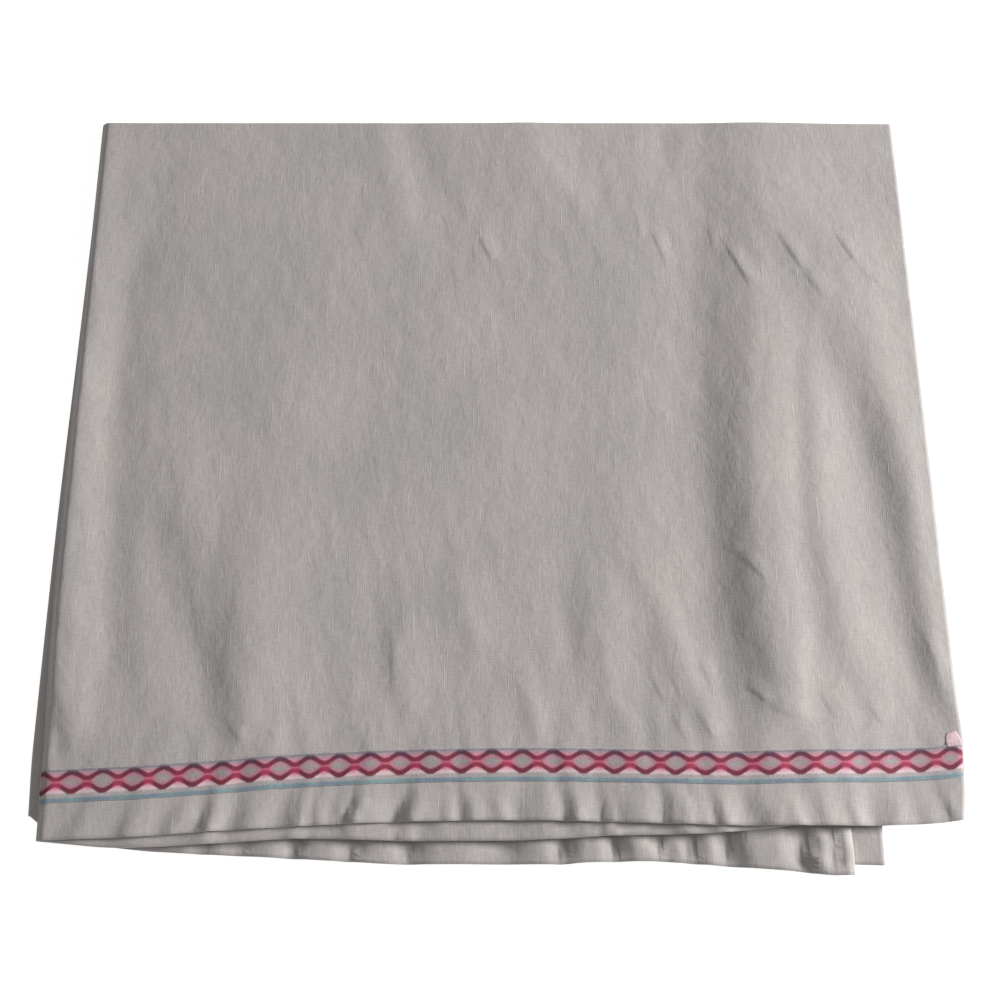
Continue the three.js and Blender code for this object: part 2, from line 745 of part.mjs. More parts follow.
// The ribbon keeps to the columns of the cloth, so that it lies level on it everywhere
function makeRibbon() {
  const between = makeColumns().slice(2, -1).map((column) => ({ ...column, tab: 0 }));
  const ribbonColumns = [
    { part: 'outer', along: RIBBON_END / 768, tab: 1 },
    { part: 'outer', along: SIDE_HEM_SHARE, tab: 1 },
    { part: 'outer', along: SIDE_HEM_SHARE * 1.25, tab: 0 },
    ...between,
    { part: 'inner', along: 1 - RIBBON_END / 628, tab: 0 },
  ];
  const near = CLOTH_THICK / 2 + RIBBON_LIFT;
  const far = near + RIBBON_THICK;
  const steps = [0, 0.5, 1];
  const grid = (offset) => ribbonColumns.map((column) => steps.map((step) => {
    const past = RIBBON_WIDE * step + (step === 1 ? RIBBON_TAB * column.tab : 0);
    return clothPoint(column, { pair: 'upper', inset: 1, past, body: 0 }, offset);
  }));
  const woven = new THREE.MeshStandardMaterial({ color: 0xa0405a, roughness: 0.8 });
  return solidFromGrids(grid(far), grid(near), 'ribbon', woven);
}

const group = new THREE.Group();
group.add(makeCloth());
group.add(makeRibbon());

// The origin is put under the middle of the whole part
const bounds = new THREE.Box3().setFromObject(group);
const middleX = (bounds.min.x + bounds.max.x) / 2;
const middleY = (bounds.min.y + bounds.max.y) / 2;
for (const mesh of group.children) {
  mesh.geometry.translate(-middleX, -middleY, -bounds.min.z);
}

export default group;
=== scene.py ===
import math

import bpy
import numpy as np
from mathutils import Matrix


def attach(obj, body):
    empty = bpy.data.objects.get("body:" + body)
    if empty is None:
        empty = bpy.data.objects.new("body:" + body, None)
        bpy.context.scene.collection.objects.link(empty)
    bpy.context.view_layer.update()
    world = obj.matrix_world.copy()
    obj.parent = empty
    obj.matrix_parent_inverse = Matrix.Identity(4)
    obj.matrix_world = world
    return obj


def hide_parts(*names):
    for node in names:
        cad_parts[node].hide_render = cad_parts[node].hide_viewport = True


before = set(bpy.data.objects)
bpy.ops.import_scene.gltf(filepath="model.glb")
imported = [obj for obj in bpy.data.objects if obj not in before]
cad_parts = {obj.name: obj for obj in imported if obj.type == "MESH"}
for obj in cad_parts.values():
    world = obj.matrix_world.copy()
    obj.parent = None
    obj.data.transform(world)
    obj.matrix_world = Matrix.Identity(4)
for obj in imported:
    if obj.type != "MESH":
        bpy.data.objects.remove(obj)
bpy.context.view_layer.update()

# A square tablecloth, folded left over right first and then front to back. Its layers are
# called top, second, third and bottom. The first two are the upper pair, joined at the upper
# left fold, the others are the lower pair, and the back fold joins the pairs. All sizes are in
# mm unless a comment says otherwise. PLAN_SHIFT moves the plan's middle to the frame's origin.
MM = 0.001
PLAN_SHIFT = (-0.12, 6.58)

# Sizes of the cloth
CLOTH_THICK = 0.95
HEM_EXTRA = 0.55  # by how much a turned hem is thicker
PAIR_GAP = 2.0  # between the two layers of a pair
MIDDLE_GAP = 2.8  # between the two pairs
TOP_WIDTH = 768.0  # of the top layer, from its side hem to its fold
SECOND_WIDTH = 628.0  # of the second layer, from the fold to its edge
BODY_DEPTH = 620.0  # of a layer, from the ribbon to the back fold
BACK_EDGE = 358.4
FRONT_LINE = -345.0
SIDE_HEM_DEPTH = 12.0
CLOTH_RIM = 0.45  # how far the rounded rim of the sheet stands out

# Sizes of the ribbon
RIBBON_THICK = 0.38
RIBBON_LIFT = 0.14  # above the cloth
RIBBON_WIDE = 28.0
RIBBON_END = 1.5  # from the cloth's edges to the ribbon's ends
RIBBON_RIM = 0.3
# x and how far the ribbon lies behind the front hem
RIBBON_INSET = [
    (-377, 30.2), (-310, 31.0), (-270, 30.9), (-230, 30.9), (-180, 32.0), (0, 32.5), (200, 34.2),
    (300, 36.2), (384, 36.2),
]
# The ribbon's end, which is turned over the side hem and stands out above its far edge
TAB_LENGTH = 10.0  # beyond the ribbon's far edge
TAB_OVERLAP = 1.5  # on the ribbon
TAB_THICK = 0.22
TAB_SIDE = 0.3  # share of that thickness at its sides
TAB_CLEARANCE = 0.1  # above the ribbon
TAB_FALL = (3.5, 0.5)  # it comes down to the cloth between these distances past the far edge
TAB_PUFF = 0.2
TAB_LEAN = 1.5
TAB_NARROWED = 0.4  # share by which its tip is narrower
TAB_COLUMNS = [0.14, 0.3, 0.5, 0.75, 1.0, 1.12]  # shares of the side hem's depth
TAB_ROWS = 11
TAB_SWELLING = (0.06, 0.85)  # part of a half turn over which it swells across its width
# It shows the pattern from so far before a crossing and below the centre, squeezed lengthwise
TAB_BEFORE_CROSSING = 5.0
TAB_BELOW_CENTRE = 9.4
TAB_PATTERN_SHARE = 0.15

# Border pattern of the ribbon: two wavy lines that meet in crossings, with diamonds between
# them and wedges outside them. Heights are measured from the ribbon's near edge.
REPEAT = 25.26
FIRST_DIAMOND = 10.5
PATTERN_CENTRE = 16.4
WAVE_MIDDLE = 5.4  # the wavy lines swing about this distance from the pattern's centre
WAVE_SWING = 2.7
WAVE_WOBBLE = 1.2
CREST_EXTRA = 0.3  # by how much a wavy line is wider at its crests
SLOPE_EXTRA = 0.25  # share by which it is wider where it slopes most
LOWER_LINE = 1.5
UPPER_LINE = 26.2
THREAD_STEP = 0.55  # the pattern moves on in such steps along the ribbon
THREAD_RISE = 0.8  # and in this share of them across it
# x and how far the pattern is shifted along the ribbon there
RIBBON_SLIP = [
    (-380, -0.6), (-300, -1.7), (-245, 0.0), (-222, 1.7), (-175, 3.4), (-110, 4.6), (0, 4.2),
    (75, 3.7), (125, 3.0), (180, 3.7), (245, 0.2), (290, 0.0), (380, -1.2),
]
# Range of two thread noises added up, and the tones that they give
THREAD_RANGE = (0.72, 1.28)
LINEN_TONES = (0.91, 1.09)
RIBBON_TONES = (0.84, 1.12)
# Heights of the materials' relief
CREASE_RELIEF = 1.0  # the creases' UV map holds their heights in mm
CRUMPLE_RELIEF = 0.5
FINE_RELIEF = 0.14
WEAVE_RELIEF = 0.09
PATTERN_RELIEF = 0.35
THREAD_RELIEF = 0.2

# Floor, light and camera, in metres. The picture is 994 by 995 pixels.
FLOOR_SIZE = 8.0
# name, place, what it is aimed at, size and watts of each lamp
LAMPS = [
    ("key_right", (5.2, 0.46, 1.38), (0.05, -0.05, 0.0), (1.5, 0.76), 745),
    ("fill_top", (-0.6, -0.7, 2.4), (0.0, 0.0, 0.0), (2.4, 1.6), 8),
]
PICTURE_PIXELS = 995
FOCAL_PIXELS = 1700
SENSOR_MM = 36.0
CAMERA_FRONT = 0.62334  # in front of the plan's middle
CAMERA_HEIGHT = 1.40096
CAMERA_DOWN = 67.26  # degrees

FOLD_RADIUS = (CLOTH_THICK + PAIR_GAP) / 2
PAIR_THICK = 2 * CLOTH_THICK + PAIR_GAP
BACK_RADIUS = (PAIR_THICK + MIDDLE_GAP) / 2
STACK_HEIGHT = 2 * BACK_RADIUS + PAIR_THICK
FOLD_OUTSIDE = FOLD_RADIUS + CLOTH_THICK / 2
SIDE_HEM_SHARE = SIDE_HEM_DEPTH / TOP_WIDTH
RIBBON_UNDER = CLOTH_THICK / 2 + RIBBON_LIFT  # above the middle of the cloth's thickness

# How finely the sheet is divided
TOP_STEP = 4.6
INNER_STEP = 6.5
ROW_STEP = 6.5
HIDDEN_ROW_STEP = 20.0
FOLD_STEPS = 8
BACK_STEPS = 10
RIBBON_ROWS = 7
HEM_COLUMNS = [0.0, 0.25, 0.6, 0.97, 1.08]  # shares of the side hem's depth
RIBBON_COLUMNS = [0.5, 1.0, 1.25]  # the same for the ribbon, which has the cloth's columns
RIBBON_FOLLOWS_FROM = 1.4  # from this share on
HEM_ROWS = [0.0, 0.10, 0.22, 0.34, 0.46, 0.58, 0.70, 0.82, 0.93, 1.0]  # from hem to ribbon
NEAR_FOLD = [1.0, 2.4, 4.2, 6.4, 9.2, 12.5, 16.5]  # distances from a left fold
EVEN_FROM_HEM = 1.3  # the even columns begin at this share of the side hem's depth
EVEN_FROM_FOLD = 20.5  # and end at this distance from the fold

# Parts of the sheet along its columns and along its rows
OUTER, FOLD, INNER = 0, 1, 2
UPPER, BACK, LOWER = 0, 1, 2

# x of the left folds and right-hand edges along the depth, 0 at the front and 1 at the back
LEFT_FOLD = {
    UPPER: [(0.00, -377.3), (0.10, -378.7), (0.22, -382.5), (0.33, -384.5), (1.00, -385.5)],
    LOWER: [(0.00, -387.9), (0.10, -390.3), (0.33, -390.5), (0.70, -387.8), (1.00, -385.5)],
}
RIGHT_EDGE = {
    "top": [(0.0, 385.4), (0.04, 388.6), (0.10, 391.0), (0.15, 389.6), (0.5, 387.4), (1.0, 384.8)],
    "second": [(0.0, 251.4), (0.3, 249.0), (1.0, 240.0)],
    "third": [(0.0, 292.0), (0.2, 290.0), (1.0, 240.0)],
    "bottom": [(0.0, 317.7), (0.15, 318.5), (1.0, 384.8)],
}

# y of each layer's front hem across the width
FRONT_HEM = {
    "top": [
        (-377, -344.9), (-304, -342.4), (-247, -338.3), (-194, -335.0), (-129, -331.7), (-63, -329.3),
        (17, -328.4), (150, -331.3), (200, -332.6), (290, -332.2), (354, -329.6), (372, -328.0),
        (386, -326.2),
    ],
    "second": [
        (-377, -344.9), (-306, -350.1), (-237, -346.8), (-156, -342.7), (-65, -344.6), (0, -344.4),
        (52, -342.7), (93, -340.3), (167, -338.6), (212, -335.4), (234, -333.0), (251, -329.5),
    ],
    "third": [
        (-388, -321.5), (-372, -333.0), (-340, -345.0), (-285, -351.8), (-190, -356.7), (-120, -360.4),
        (-79, -362.4), (52, -362.4), (76, -360.8), (125, -359.9), (166, -362.4), (199, -364.8),
        (245, -368.1), (278, -371.3), (292, -371.3),
    ],
    "bottom": [
        (-388, -321.5), (-372, -330.0), (-300, -341.0), (-100, -354.0), (120, -356.5), (240, -360.5),
        (318, -362.8),
    ],
}

# Troughs and ridges of the top layer. Each is a name and a line of points: x, y, half width
# to its left, half width to its right, and lift.
TOP_FOLDS = [
    ("main ridge, over the edges of the second and third layers", [
        (254, 345, 40, 74, 1.6), (257, 243, 38, 80, 2.6), (247, 156, 36, 82, 3.0),
        (241, 100, 35, 66, 3.7), (236, 53, 34, 60, 4.4), (232, -26, 32, 56, 4.6),
        (233, -101, 30, 52, 4.9), (236, -156, 29, 46, 4.9), (243, -200, 30, 34, 4.2),
        (240, -232, 28, 28, 2.4), (232, -258, 22, 20, 0.9),
    ]),
    ("hollow to the left of it", [
        (192, 345, 36, 22, -0.8), (186, 243, 42, 22, -1.2), (180, 156, 38, 24, -1.3),
        (178, 53, 42, 26, -1.8), (182, -26, 44, 24, -1.8), (184, -101, 34, 24, -1.8),
        (184, -156, 26, 26, -1.8), (192, -201, 18, 26, -1.5), (199, -235, 14, 22, -0.8),
        (202, -262, 12, 16, -0.3),
    ]),
    ("trough right of the main ridge", [
        (274, 140, 16, 14, -0.2), (274, 100, 16, 14, -0.7), (272, 20, 15, 14, -0.9),
        (268, -45, 15, 14, -0.9), (270, -101, 15, 14, -1.1), (273, -156, 15, 14, -1.3),
        (271, -210, 13, 13, -1.0), (272, -240, 11, 11, -0.5),
    ]),
    ("ridge right of that", [
        (282, 140, 14, 18, 0.3), (289, 60, 13, 20, 1.1), (286, -45, 13, 24, 1.1),
        (289, -90, 14, 24, 1.2), (296, -138, 15, 24, 1.6), (306, -176, 18, 22, 1.7),
        (319, -218, 16, 16, 1.5), (326, -242, 12, 12, 0.9),
    ]),
    ("curved trough at the right", [
        (258, 215, 18, 18, -0.4), (268, 175, 20, 22, -0.8), (284, 135, 24, 24, -1.1),
        (306, 88, 26, 24, -1.5), (328, 25, 28, 20, -1.8), (340, -45, 30, 16, -1.8),
        (345, -101, 30, 14, -1.3), (349, -156, 26, 13, -1.3), (356, -186, 20, 12, -1.5),
        (363, -210, 14, 12, -1.4), (372, -234, 12, 10, -0.7),
    ]),
    ("ridge along the side hem", [
        (316, 268, 46, 46, 1.2), (322, 212, 50, 46, 2.5), (330, 160, 50, 38, 3.4),
        (347, 92, 38, 30, 3.7), (361, 25, 28, 20, 3.9), (367, -45, 22, 16, 3.6),
        (369, -101, 18, 16, 2.9), (370, -156, 16, 16, 2.8), (374, -195, 15, 13, 3.0),
        (380, -218, 13, 11, 2.2), (386, -244, 12, 10, 0.6),
    ]),
    ("puffed strip along the left fold", [
        (-382, 345, 20, 20, 0.7), (-382, 268, 20, 20, 1.6), (-382, 60, 22, 22, 2.3),
        (-380, -50, 22, 22, 2.0), (-374, -120, 22, 22, 2.1), (-368, -190, 22, 22, 2.1),
        (-362, -245, 20, 20, 1.7),
    ]),
    ("pressed line behind that strip", [
        (-318, 320, 16, 16, -0.3), (-324, 250, 18, 18, -0.6), (-344, 180, 16, 20, -1.2),
        (-346, 50, 16, 20, -1.4), (-340, -50, 16, 20, -1.4), (-334, -120, 16, 20, -1.4),
        (-330, -190, 16, 18, -0.9), (-326, -235, 16, 16, -0.2),
    ]),
    ("left ridge", [
        (-206, 0, 24, 30, 0.3), (-211, -60, 26, 34, 1.0), (-214, -110, 30, 40, 2.1),
        (-215, -156, 24, 44, 2.6), (-214, -210, 20, 46, 2.5), (-212, -250, 16, 40, 1.4),
    ]),
    ("hollow beside the left ridge", [
        (-302, -70, 14, 18, -0.6), (-294, -110, 16, 30, -1.4), (-277, -150, 20, 26, -1.7),
        (-262, -185, 20, 20, -1.6), (-250, -215, 18, 16, -1.3), (-240, -255, 14, 12, -0.7),
    ]),
    ("slanting swell left of it", [
        (-280, -10, 18, 20, 0.5), (-272, -60, 18, 20, 0.9), (-262, -88, 14, 14, 0.5),
    ]),
    ("front left dent", [
        (-380, -225, 10, 10, -1.0), (-371, -252, 10, 10, -1.3), (-366, -272, 10, 10, -0.8),
    ]),
    ("broad ridge at the back", [
        (34, 345, 40, 22, 1.3), (42, 310, 40, 22, 1.5), (72, 262, 36, 20, 1.2),
        (84, 222, 30, 20, 0.5),
    ]),
    ("trough at the back", [
        (-84, 345, 18, 20, -0.8), (-76, 310, 18, 22, -1.3), (-62, 255, 20, 26, -1.0),
        (-46, 195, 20, 24, -0.4),
    ]),
    ("ridge beside it", [
        (-112, 340, 14, 14, 0.5), (-100, 300, 14, 14, 0.5), (-88, 262, 14, 14, 0.3),
    ]),
    ("short trough at the back", [(161, 338, 9, 9, -0.6), (158, 298, 9, 9, -0.3)]),
    ("short ridge at the back", [(184, 338, 11, 11, 0.6), (180, 296, 11, 11, 0.3)]),
    # slanting folds above the ribbon
    ("slanting fold, right", [
        (124, -100, 14, 13, 0.2), (134, -122, 12, 13, 0.4), (146, -150, 13, 12, 0.8),
        (153, -183, 13, 12, 0.9), (163, -218, 14, 12, 0.9), (180, -246, 14, 12, 0.6),
    ]),
    ("dent beside it", [
        (110, -118, 14, 13, -0.3), (118, -148, 14, 14, -0.5), (120, -185, 13, 14, -0.5),
        (132, -216, 12, 12, -0.5), (146, -238, 10, 10, -0.2),
    ]),
    ("slanting fold, middle", [
        (84, -140, 16, 13, 0.4), (90, -175, 16, 12, 0.8), (94, -214, 15, 12, 0.8),
        (108, -240, 12, 12, 0.5),
    ]),
    ("dent, middle", [
        (54, -110, 14, 16, -0.6), (58, -145, 13, 16, -0.9), (60, -185, 12, 14, -0.5),
    ]),
    ("slanting fold, left", [
        (-36, -110, 12, 14, 0.5), (-27, -145, 12, 14, 0.9), (-16, -180, 12, 12, 0.7),
    ]),
    ("front fold", [(24, -205, 11, 11, 0.5), (32, -240, 11, 11, 0.9)]),
    ("dent, left", [
        (-104, -110, 14, 14, -0.3), (-104, -160, 14, 12, -0.6), (-100, -210, 12, 12, -0.4),
    ]),
    ("low ridge, left", [
        (-82, -160, 10, 16, 0.5), (-80, -200, 10, 14, 0.8), (-72, -236, 10, 12, 0.6),
    ]),
    ("front fold, left", [(-170, -215, 9, 9, 0.3), (-158, -259, 9, 9, 0.6)]),
    ("front fold beside it", [(-127, -215, 8, 8, 0.3), (-114, -259, 8, 8, 0.6)]),
    ("front fold, right", [(290, -224, 9, 9, 0.6), (302, -256, 8, 8, 0.9)]),
    # the cloth stands up a little along the far edge of the ribbon
    ("behind the ribbon", [
        (-330, -278, 24, 24, 0.4), (-200, -264, 24, 24, 0.9), (0, -258, 24, 24, 1.1),
        (200, -260, 24, 24, 1.0), (384, -256, 24, 24, 0.6),
    ]),
]

# The pressed creases. The mesh carries them as low ridges, and the material adds their steep
# sides, which are finer than the mesh.
CREASE_RIDGE = 0.5  # height of the mesh's ridge, as a share of the crease's height
CREASE_REACH = 6.5  # half width of that ridge
CREASE_STEEP = 0.85  # height of the material's steep side, as a share of the crease's height
CREASE_SIDES = (-1.0, 2.4)  # reach of its steep and its long side, in widths of the steep one
CREASE_FROM, CREASE_TO = -0.1, 1.05  # where a crease starts and stops, as shares of its length
CREASE_RUN_OUT = 0.45  # over this share of its length it runs out
CREASE_FACES = 16  # the faces within this distance of a crease show it
NO_CREASE = 9.0  # distance across, in steep widths, on all other faces
# x and y of one end, x and y of the other end with the steep side on the left going there,
# width of the steep side, height
CREASES = [
    (-1, 194, -20, 240, 5.4, 0.44), (-20, 199, -22, 224, 3.8, 0.20),
    (-124, 213, -134, 241, 4.5, 0.17), (56, 190, 36, 223, 5.4, 0.24),
    (103, 190, 88, 228, 5.4, 0.20), (135, 225, 135, 251, 3.9, 0.24),
    (162, 192, 148, 237, 5.1, 0.48), (205, 211, 203, 241, 4.5, 0.31),
    (239, 171, 215, 224, 5.4, 0.60), (290, 188, 266, 234, 6.0, 0.70),
    (308, 160, 288, 191, 6.6, 0.48), (342, 194, 321, 233, 5.7, 0.60),
    (366, 170, 340, 197, 6.0, 0.31), (-34, 150, -40, 200, 4.5, 0.09),
    (-87, -222, -89, -160, 4.5, 0.26), (214, -94, 198, -87, 5.4, 0.30),
    (234, -118, 211, -93, 5.7, 0.48), (230, -228, 211, -211, 6.0, 0.60),
    (264, -240, 226, -231, 6.6, 0.44), (288, -243, 273, -217, 5.4, 0.34),
    (327, -247, 313, -226, 5.4, 0.37), (186, -222, 171, -182, 4.8, 0.30),
    (184, -262, 170, -236, 5.1, 0.34), (145, -232, 130, -200, 5.1, 0.34),
    (160, -262, 146, -234, 4.8, 0.26), (378, -200, 366, -160, 6.0, 0.37),
    (-183, -262, -190, -250, 4.5, 0.28), (-189, -251, -213, -245, 5.1, 0.22),
    (-208, -266, -232, -238, 5.1, 0.25), (350, -110, 342, -70, 4.8, 0.18),
    (-258, -150, -268, -110, 5.1, 0.15), (-205, -354, -206, -348, 4.0, 0.50),
    (-162, -359, -163, -345, 4.5, 0.90), (-117, -361, -118, -346, 4.5, 0.70),
    (-69, -362, -70, -346, 6.0, 0.90), (54, -362, 53, -344, 4.5, 0.70),
    (99, -361, 98, -342, 5.0, 0.90), (136, -360, 135, -341, 4.5, 0.70),
    (160, -362, 159, -341, 5.0, 0.90), (192, -364, 191, -340, 5.0, 0.90),
    (253, -368, 252, -340, 5.0, 0.80), (279, -371, 278, -346, 4.5, 0.70),
]

# Shape of each gathered hem across the width: x and lift, crests and dips in turn
HEM_WAVES = {
    "top": [
        (-377, 0.0), (-355, -0.3), (-336, 0.5), (-311, -0.3), (-300.5, 0.65), (-270, -0.45),
        (-260, 0.25), (-243, -0.4), (-231.5, 0.9), (-217, -0.4), (-197.5, 0.6), (-176, -0.8),
        (-165, 0.05), (-151, -0.5), (-145, 0.15), (-132, -0.6), (-128, 0.05), (-121, -0.5),
        (-113, 0.75), (-78, -1.1), (-62, 0.45), (-46, 0.1), (-42, 0.6), (-32, -0.4), (-24, 0.7),
        (-8, 0.1), (4, 0.5), (20, -0.5), (37, 0.6), (53, -0.6), (63, 0.8), (86, -0.7),
        (121, 0.8), (132, -0.5), (146, 1.15), (152, 0.6), (165, 0.8), (173, 0.1), (192, 0.5),
        (205, -0.5), (224, 1.0), (232, 1.15), (256, -0.2), (268, 0.4), (287, -0.6), (296, 0.2),
        (311, -1.3), (329, 1.15), (343, 0.0), (350, 0.5), (369, -0.6), (374, 0.6), (387, -0.1),
    ],
    "second": [
        (-377, 0.0), (-340, 0.2), (-318, -0.5), (-290, 0.4), (-262, -0.5), (-236, 0.4),
        (-212, -0.5), (-180, 0.4), (-150, -0.4), (-118, 0.3), (-92, 0.6), (-68, -1.4), (-45, 0.4),
        (-10, 0.0), (8, -0.7), (36, 0.4), (58, -0.6), (84, 0.4), (112, -0.2), (134, -0.8),
        (150, -0.2), (176, 0.4), (200, -0.3), (224, 0.4), (251, -0.2),
    ],
    "third": [
        (-388, 0.0), (-300, 0.2), (-285, -0.8), (-262, 0.4), (-248, 0.4), (-238, -1.2), (-226, 0.3),
        (-208, -0.9), (-190, 0.6), (-174, 0.5), (-164, -1.6), (-153, 0.7), (-130, 0.5), (-119, -1.3),
        (-106, 0.5), (-86, 0.3), (-71, -1.7), (-54, 0.6), (-30, 0.8), (6, -0.8), (38, 0.7),
        (52, -1.2), (66, 0.8), (84, 0.6), (97, -1.7), (112, 0.8), (124, 0.5), (134, -1.2),
        (146, 0.5), (158, -1.6), (172, 0.6), (189, -1.6), (206, 0.8), (236, 0.6), (251, -1.5),
        (264, 0.5), (277, -1.0), (288, 0.5), (293, -0.4),
    ],
}

# Folds of the third layer that show past the front hem of the top one, in the same columns
THIRD_FOLDS = [
    ("slanting fold at the corner", [
        (246, -350, 6, 6, 0.8), (264, -360, 6, 6, 1.8), (283, -371, 6, 6, 1.2),
    ]),
    ("one beside it", [
        (262, -345, 6, 6, 0.6), (275, -352, 6, 6, 1.2), (289, -359, 6, 6, 0.7),
    ]),
]
WAVE_HEIGHT = {"top": 1.75, "second": 2.0, "third": 2.6}
WAVE_LIFT = {"top": 0.8, "second": 0.4, "third": 1.8}
# x and how far the pleats of the hems lean sideways for each mm back
LEAN = [(-385, 0.30), (-120, 0.18), (20, -0.10), (385, -0.20)]
LEAN_PIVOT = 18.0  # distance behind the edge at which a leaning pleat is at its own x
PLEAT_WANDER = 2.5
# How the pleats change with the distance from the edge, in two steps: share of their height
# before the step, share after it, where it begins and how long it is
TOP_PLEAT_STEPS = [(1.0, 0.3, 6, 30), (1.0, 0.0, 62, 50)]
LOWER_PLEAT_STEPS = [(0.5, 1.0, 0, 14), (1.0, 0.0, 25, 60)]
PLEAT_STEPS = {"top": TOP_PLEAT_STEPS, "second": LOWER_PLEAT_STEPS, "third": LOWER_PLEAT_STEPS}

# Swells and unevenness: seed, number of waves, their shortest and longest length, and how
# many times as long they are from front to back
LOW_SWELL = (5, 9, 70, 220, 2.5)
SMALL_UNEVENNESS = (11, 14, 14, 40, 1.4)
PLEAT_SWELL = (31, 6, 40, 120, 0.7)
LOW_SWELL_HEIGHT = 0.18
SECOND_SWELL = 0.5  # share of it that the second layer has
SMALL_HEIGHT = 0.09
SWELL_TURN = 0.55  # spread of the waves' directions, in radians
SWELL_BEND = 0.8  # how much their crests bend
SWELL_BEND_PHASE = 1.7

# How the stack closes up. Past the edges of its inner layers it sinks by this share, by depth
SINK_SHARE = [(0.0, 0.9), (0.10, 0.8), (0.22, 0.55), (0.5, 0.35), (1.0, 0.15)]
SINK_STARTS = 4.0
SINK_REACH = {"second": 84.0, "third": 74.0, "bottom": 34.0}
# and these are the shares of each gap that go there
LOWER_GAP_SINKS = 0.7
MIDDLE_GAP_SINKS = 0.75
UPPER_GAP_SINKS = 0.5
# Shares that are pressed flat towards the back fold, the right-hand edges and the front hems
EDGE_REACH = 70.0
SWELL_PRESSED_BACK = 0.7
SMALL_PRESSED_BACK = 0.6
SMALL_BACK_REACH = 30
ROLL_PRESSED_BACK = 0.35
GAPS_PRESSED_RIGHT = 0.3
LOWER_GAP_PRESSED_FRONT = 0.65
ROLL_REACH = 6.0  # the left folds are rolls that reach their height this far in
ROLL_PRESSED = 0.45  # share of the pair's gap that is left right at the fold
ROLL_PLEATS = 0.3  # share of the pleats' height that is left there
ROLL_HEIGHT = 1.4  # the upper pair opens by this much behind its roll
MOUTH_OPEN = 2.6  # the middle gap opens by this much towards the front hems
MOUTH_REACH = 110.0
LEAST_ROOM = 0.30  # between two layers wherever they press together
RIBBON_ROOM = 1.75  # what the ribbon takes up under the second layer
RIBBON_ROOM_REACH = 100
RIBBON_ROOM_FADE = 20
ROOM_ROUNDING = 0.5
# Rooms of the stack from the bottom up, and their heights where nothing is uneven
EVEN_ROOMS = {
    "bottom": CLOTH_THICK,
    "lower_gap": PAIR_GAP,
    "third": CLOTH_THICK,
    "middle_gap": MIDDLE_GAP,
    "second": CLOTH_THICK,
    "upper_gap": PAIR_GAP,
}


def table_at(table, place):
    """Smooth reading of a table of two columns: rounded between its rows, without overshoot."""
    keys = np.array([row[0] for row in table], dtype=float)
    values = np.array([row[1] for row in table], dtype=float)
    place = np.clip(place, keys[0], keys[-1])
    slopes = np.diff(values) / np.diff(keys)
    tangents = np.zeros(len(keys))
    for i in range(1, len(keys) - 1):
        before, after = slopes[i - 1], slopes[i]
        if before * after > 0:
            tangents[i] = 2 * before * after / (before + after)
    tangents[0], tangents[-1] = slopes[0], slopes[-1]
    index = np.clip(np.searchsorted(keys, place) - 1, 0, len(keys) - 2)
    span = keys[index + 1] - keys[index]
    t = (place - keys[index]) / span
    square, cube = t * t, t * t * t
    return (
        (2 * cube - 3 * square + 1) * values[index]
        + (cube - 2 * square + t) * span * tangents[index]
        + (3 * square - 2 * cube) * values[index + 1]
        + (cube - square) * span * tangents[index + 1]
    )


def mix(a, b, share):
    return a + (b - a) * share


def smooth_step(value):
    held = np.clip(value, 0, 1)
    return held * held * (3 - 2 * held)


def nearness(distance, reach=EDGE_REACH):
    return np.exp(-((distance / reach) ** 2))


def depth_of(y):
    return np.clip((y - FRONT_LINE) / (BACK_EDGE - FRONT_LINE), 0, 1)


def fold_lift(folds, x, y):
    """Height that a table of troughs and ridges adds at each place.

    Each fold counts once, read at the point of its line that lies nearest."""
    total = np.zeros_like(x)
    for _, line in folds:
        nearest = np.full_like(x, np.inf)
        wide, high = np.ones_like(x), np.zeros_like(x)
        for start, end in zip(line, line[1:]):
            run_x, run_y = end[0] - start[0], end[1] - start[1]
            along = ((x - start[0]) * run_x + (y - start[1]) * run_y) / (run_x**2 + run_y**2)
            along = np.clip(along, 0, 1)
            there = [mix(a, b, along) for a, b in zip(start, end)]
            distance = np.hypot(x - there[0], y - there[1])
            closer = distance < nearest
            nearest = np.where(closer, distance, nearest)
            wide = np.where(closer, np.where(x < there[0], there[2], there[3]), wide)
            high = np.where(closer, there[4], high)
        total += high * nearness(nearest, wide)
    return total


def crease_ends(share):
    """Height of a crease along its length: it runs out softly at both ends."""
    begins = smooth_step((share - CREASE_FROM) / CREASE_RUN_OUT)
    return begins * smooth_step((CREASE_TO - share) / CREASE_RUN_OUT)


def from_crease(crease, x, y):
    """Distances from the start of a crease, along it and to its right, and its length."""
    start_x, start_y, end_x, end_y = crease[:4]
    length = math.hypot(end_x - start_x, end_y - start_y)
    run_x, run_y = (end_x - start_x) / length, (end_y - start_y) / length
    along = (x - start_x) * run_x + (y - start_y) * run_y
    across = (x - start_x) * run_y - (y - start_y) * run_x
    return along, across, length


def crease_lift(x, y):
    """The low ridges that the top layer has along its pressed creases."""
    total = np.zeros_like(x)
    for crease in CREASES:
        start_y, high = crease[1], crease[5]
        if start_y < FRONT_LINE:
            continue
        along, across, length = from_crease(crease, x, y)
        ridge = nearness(across, CREASE_REACH) * crease_ends(along / length)
        total += CREASE_RIDGE * high * ridge
    return total


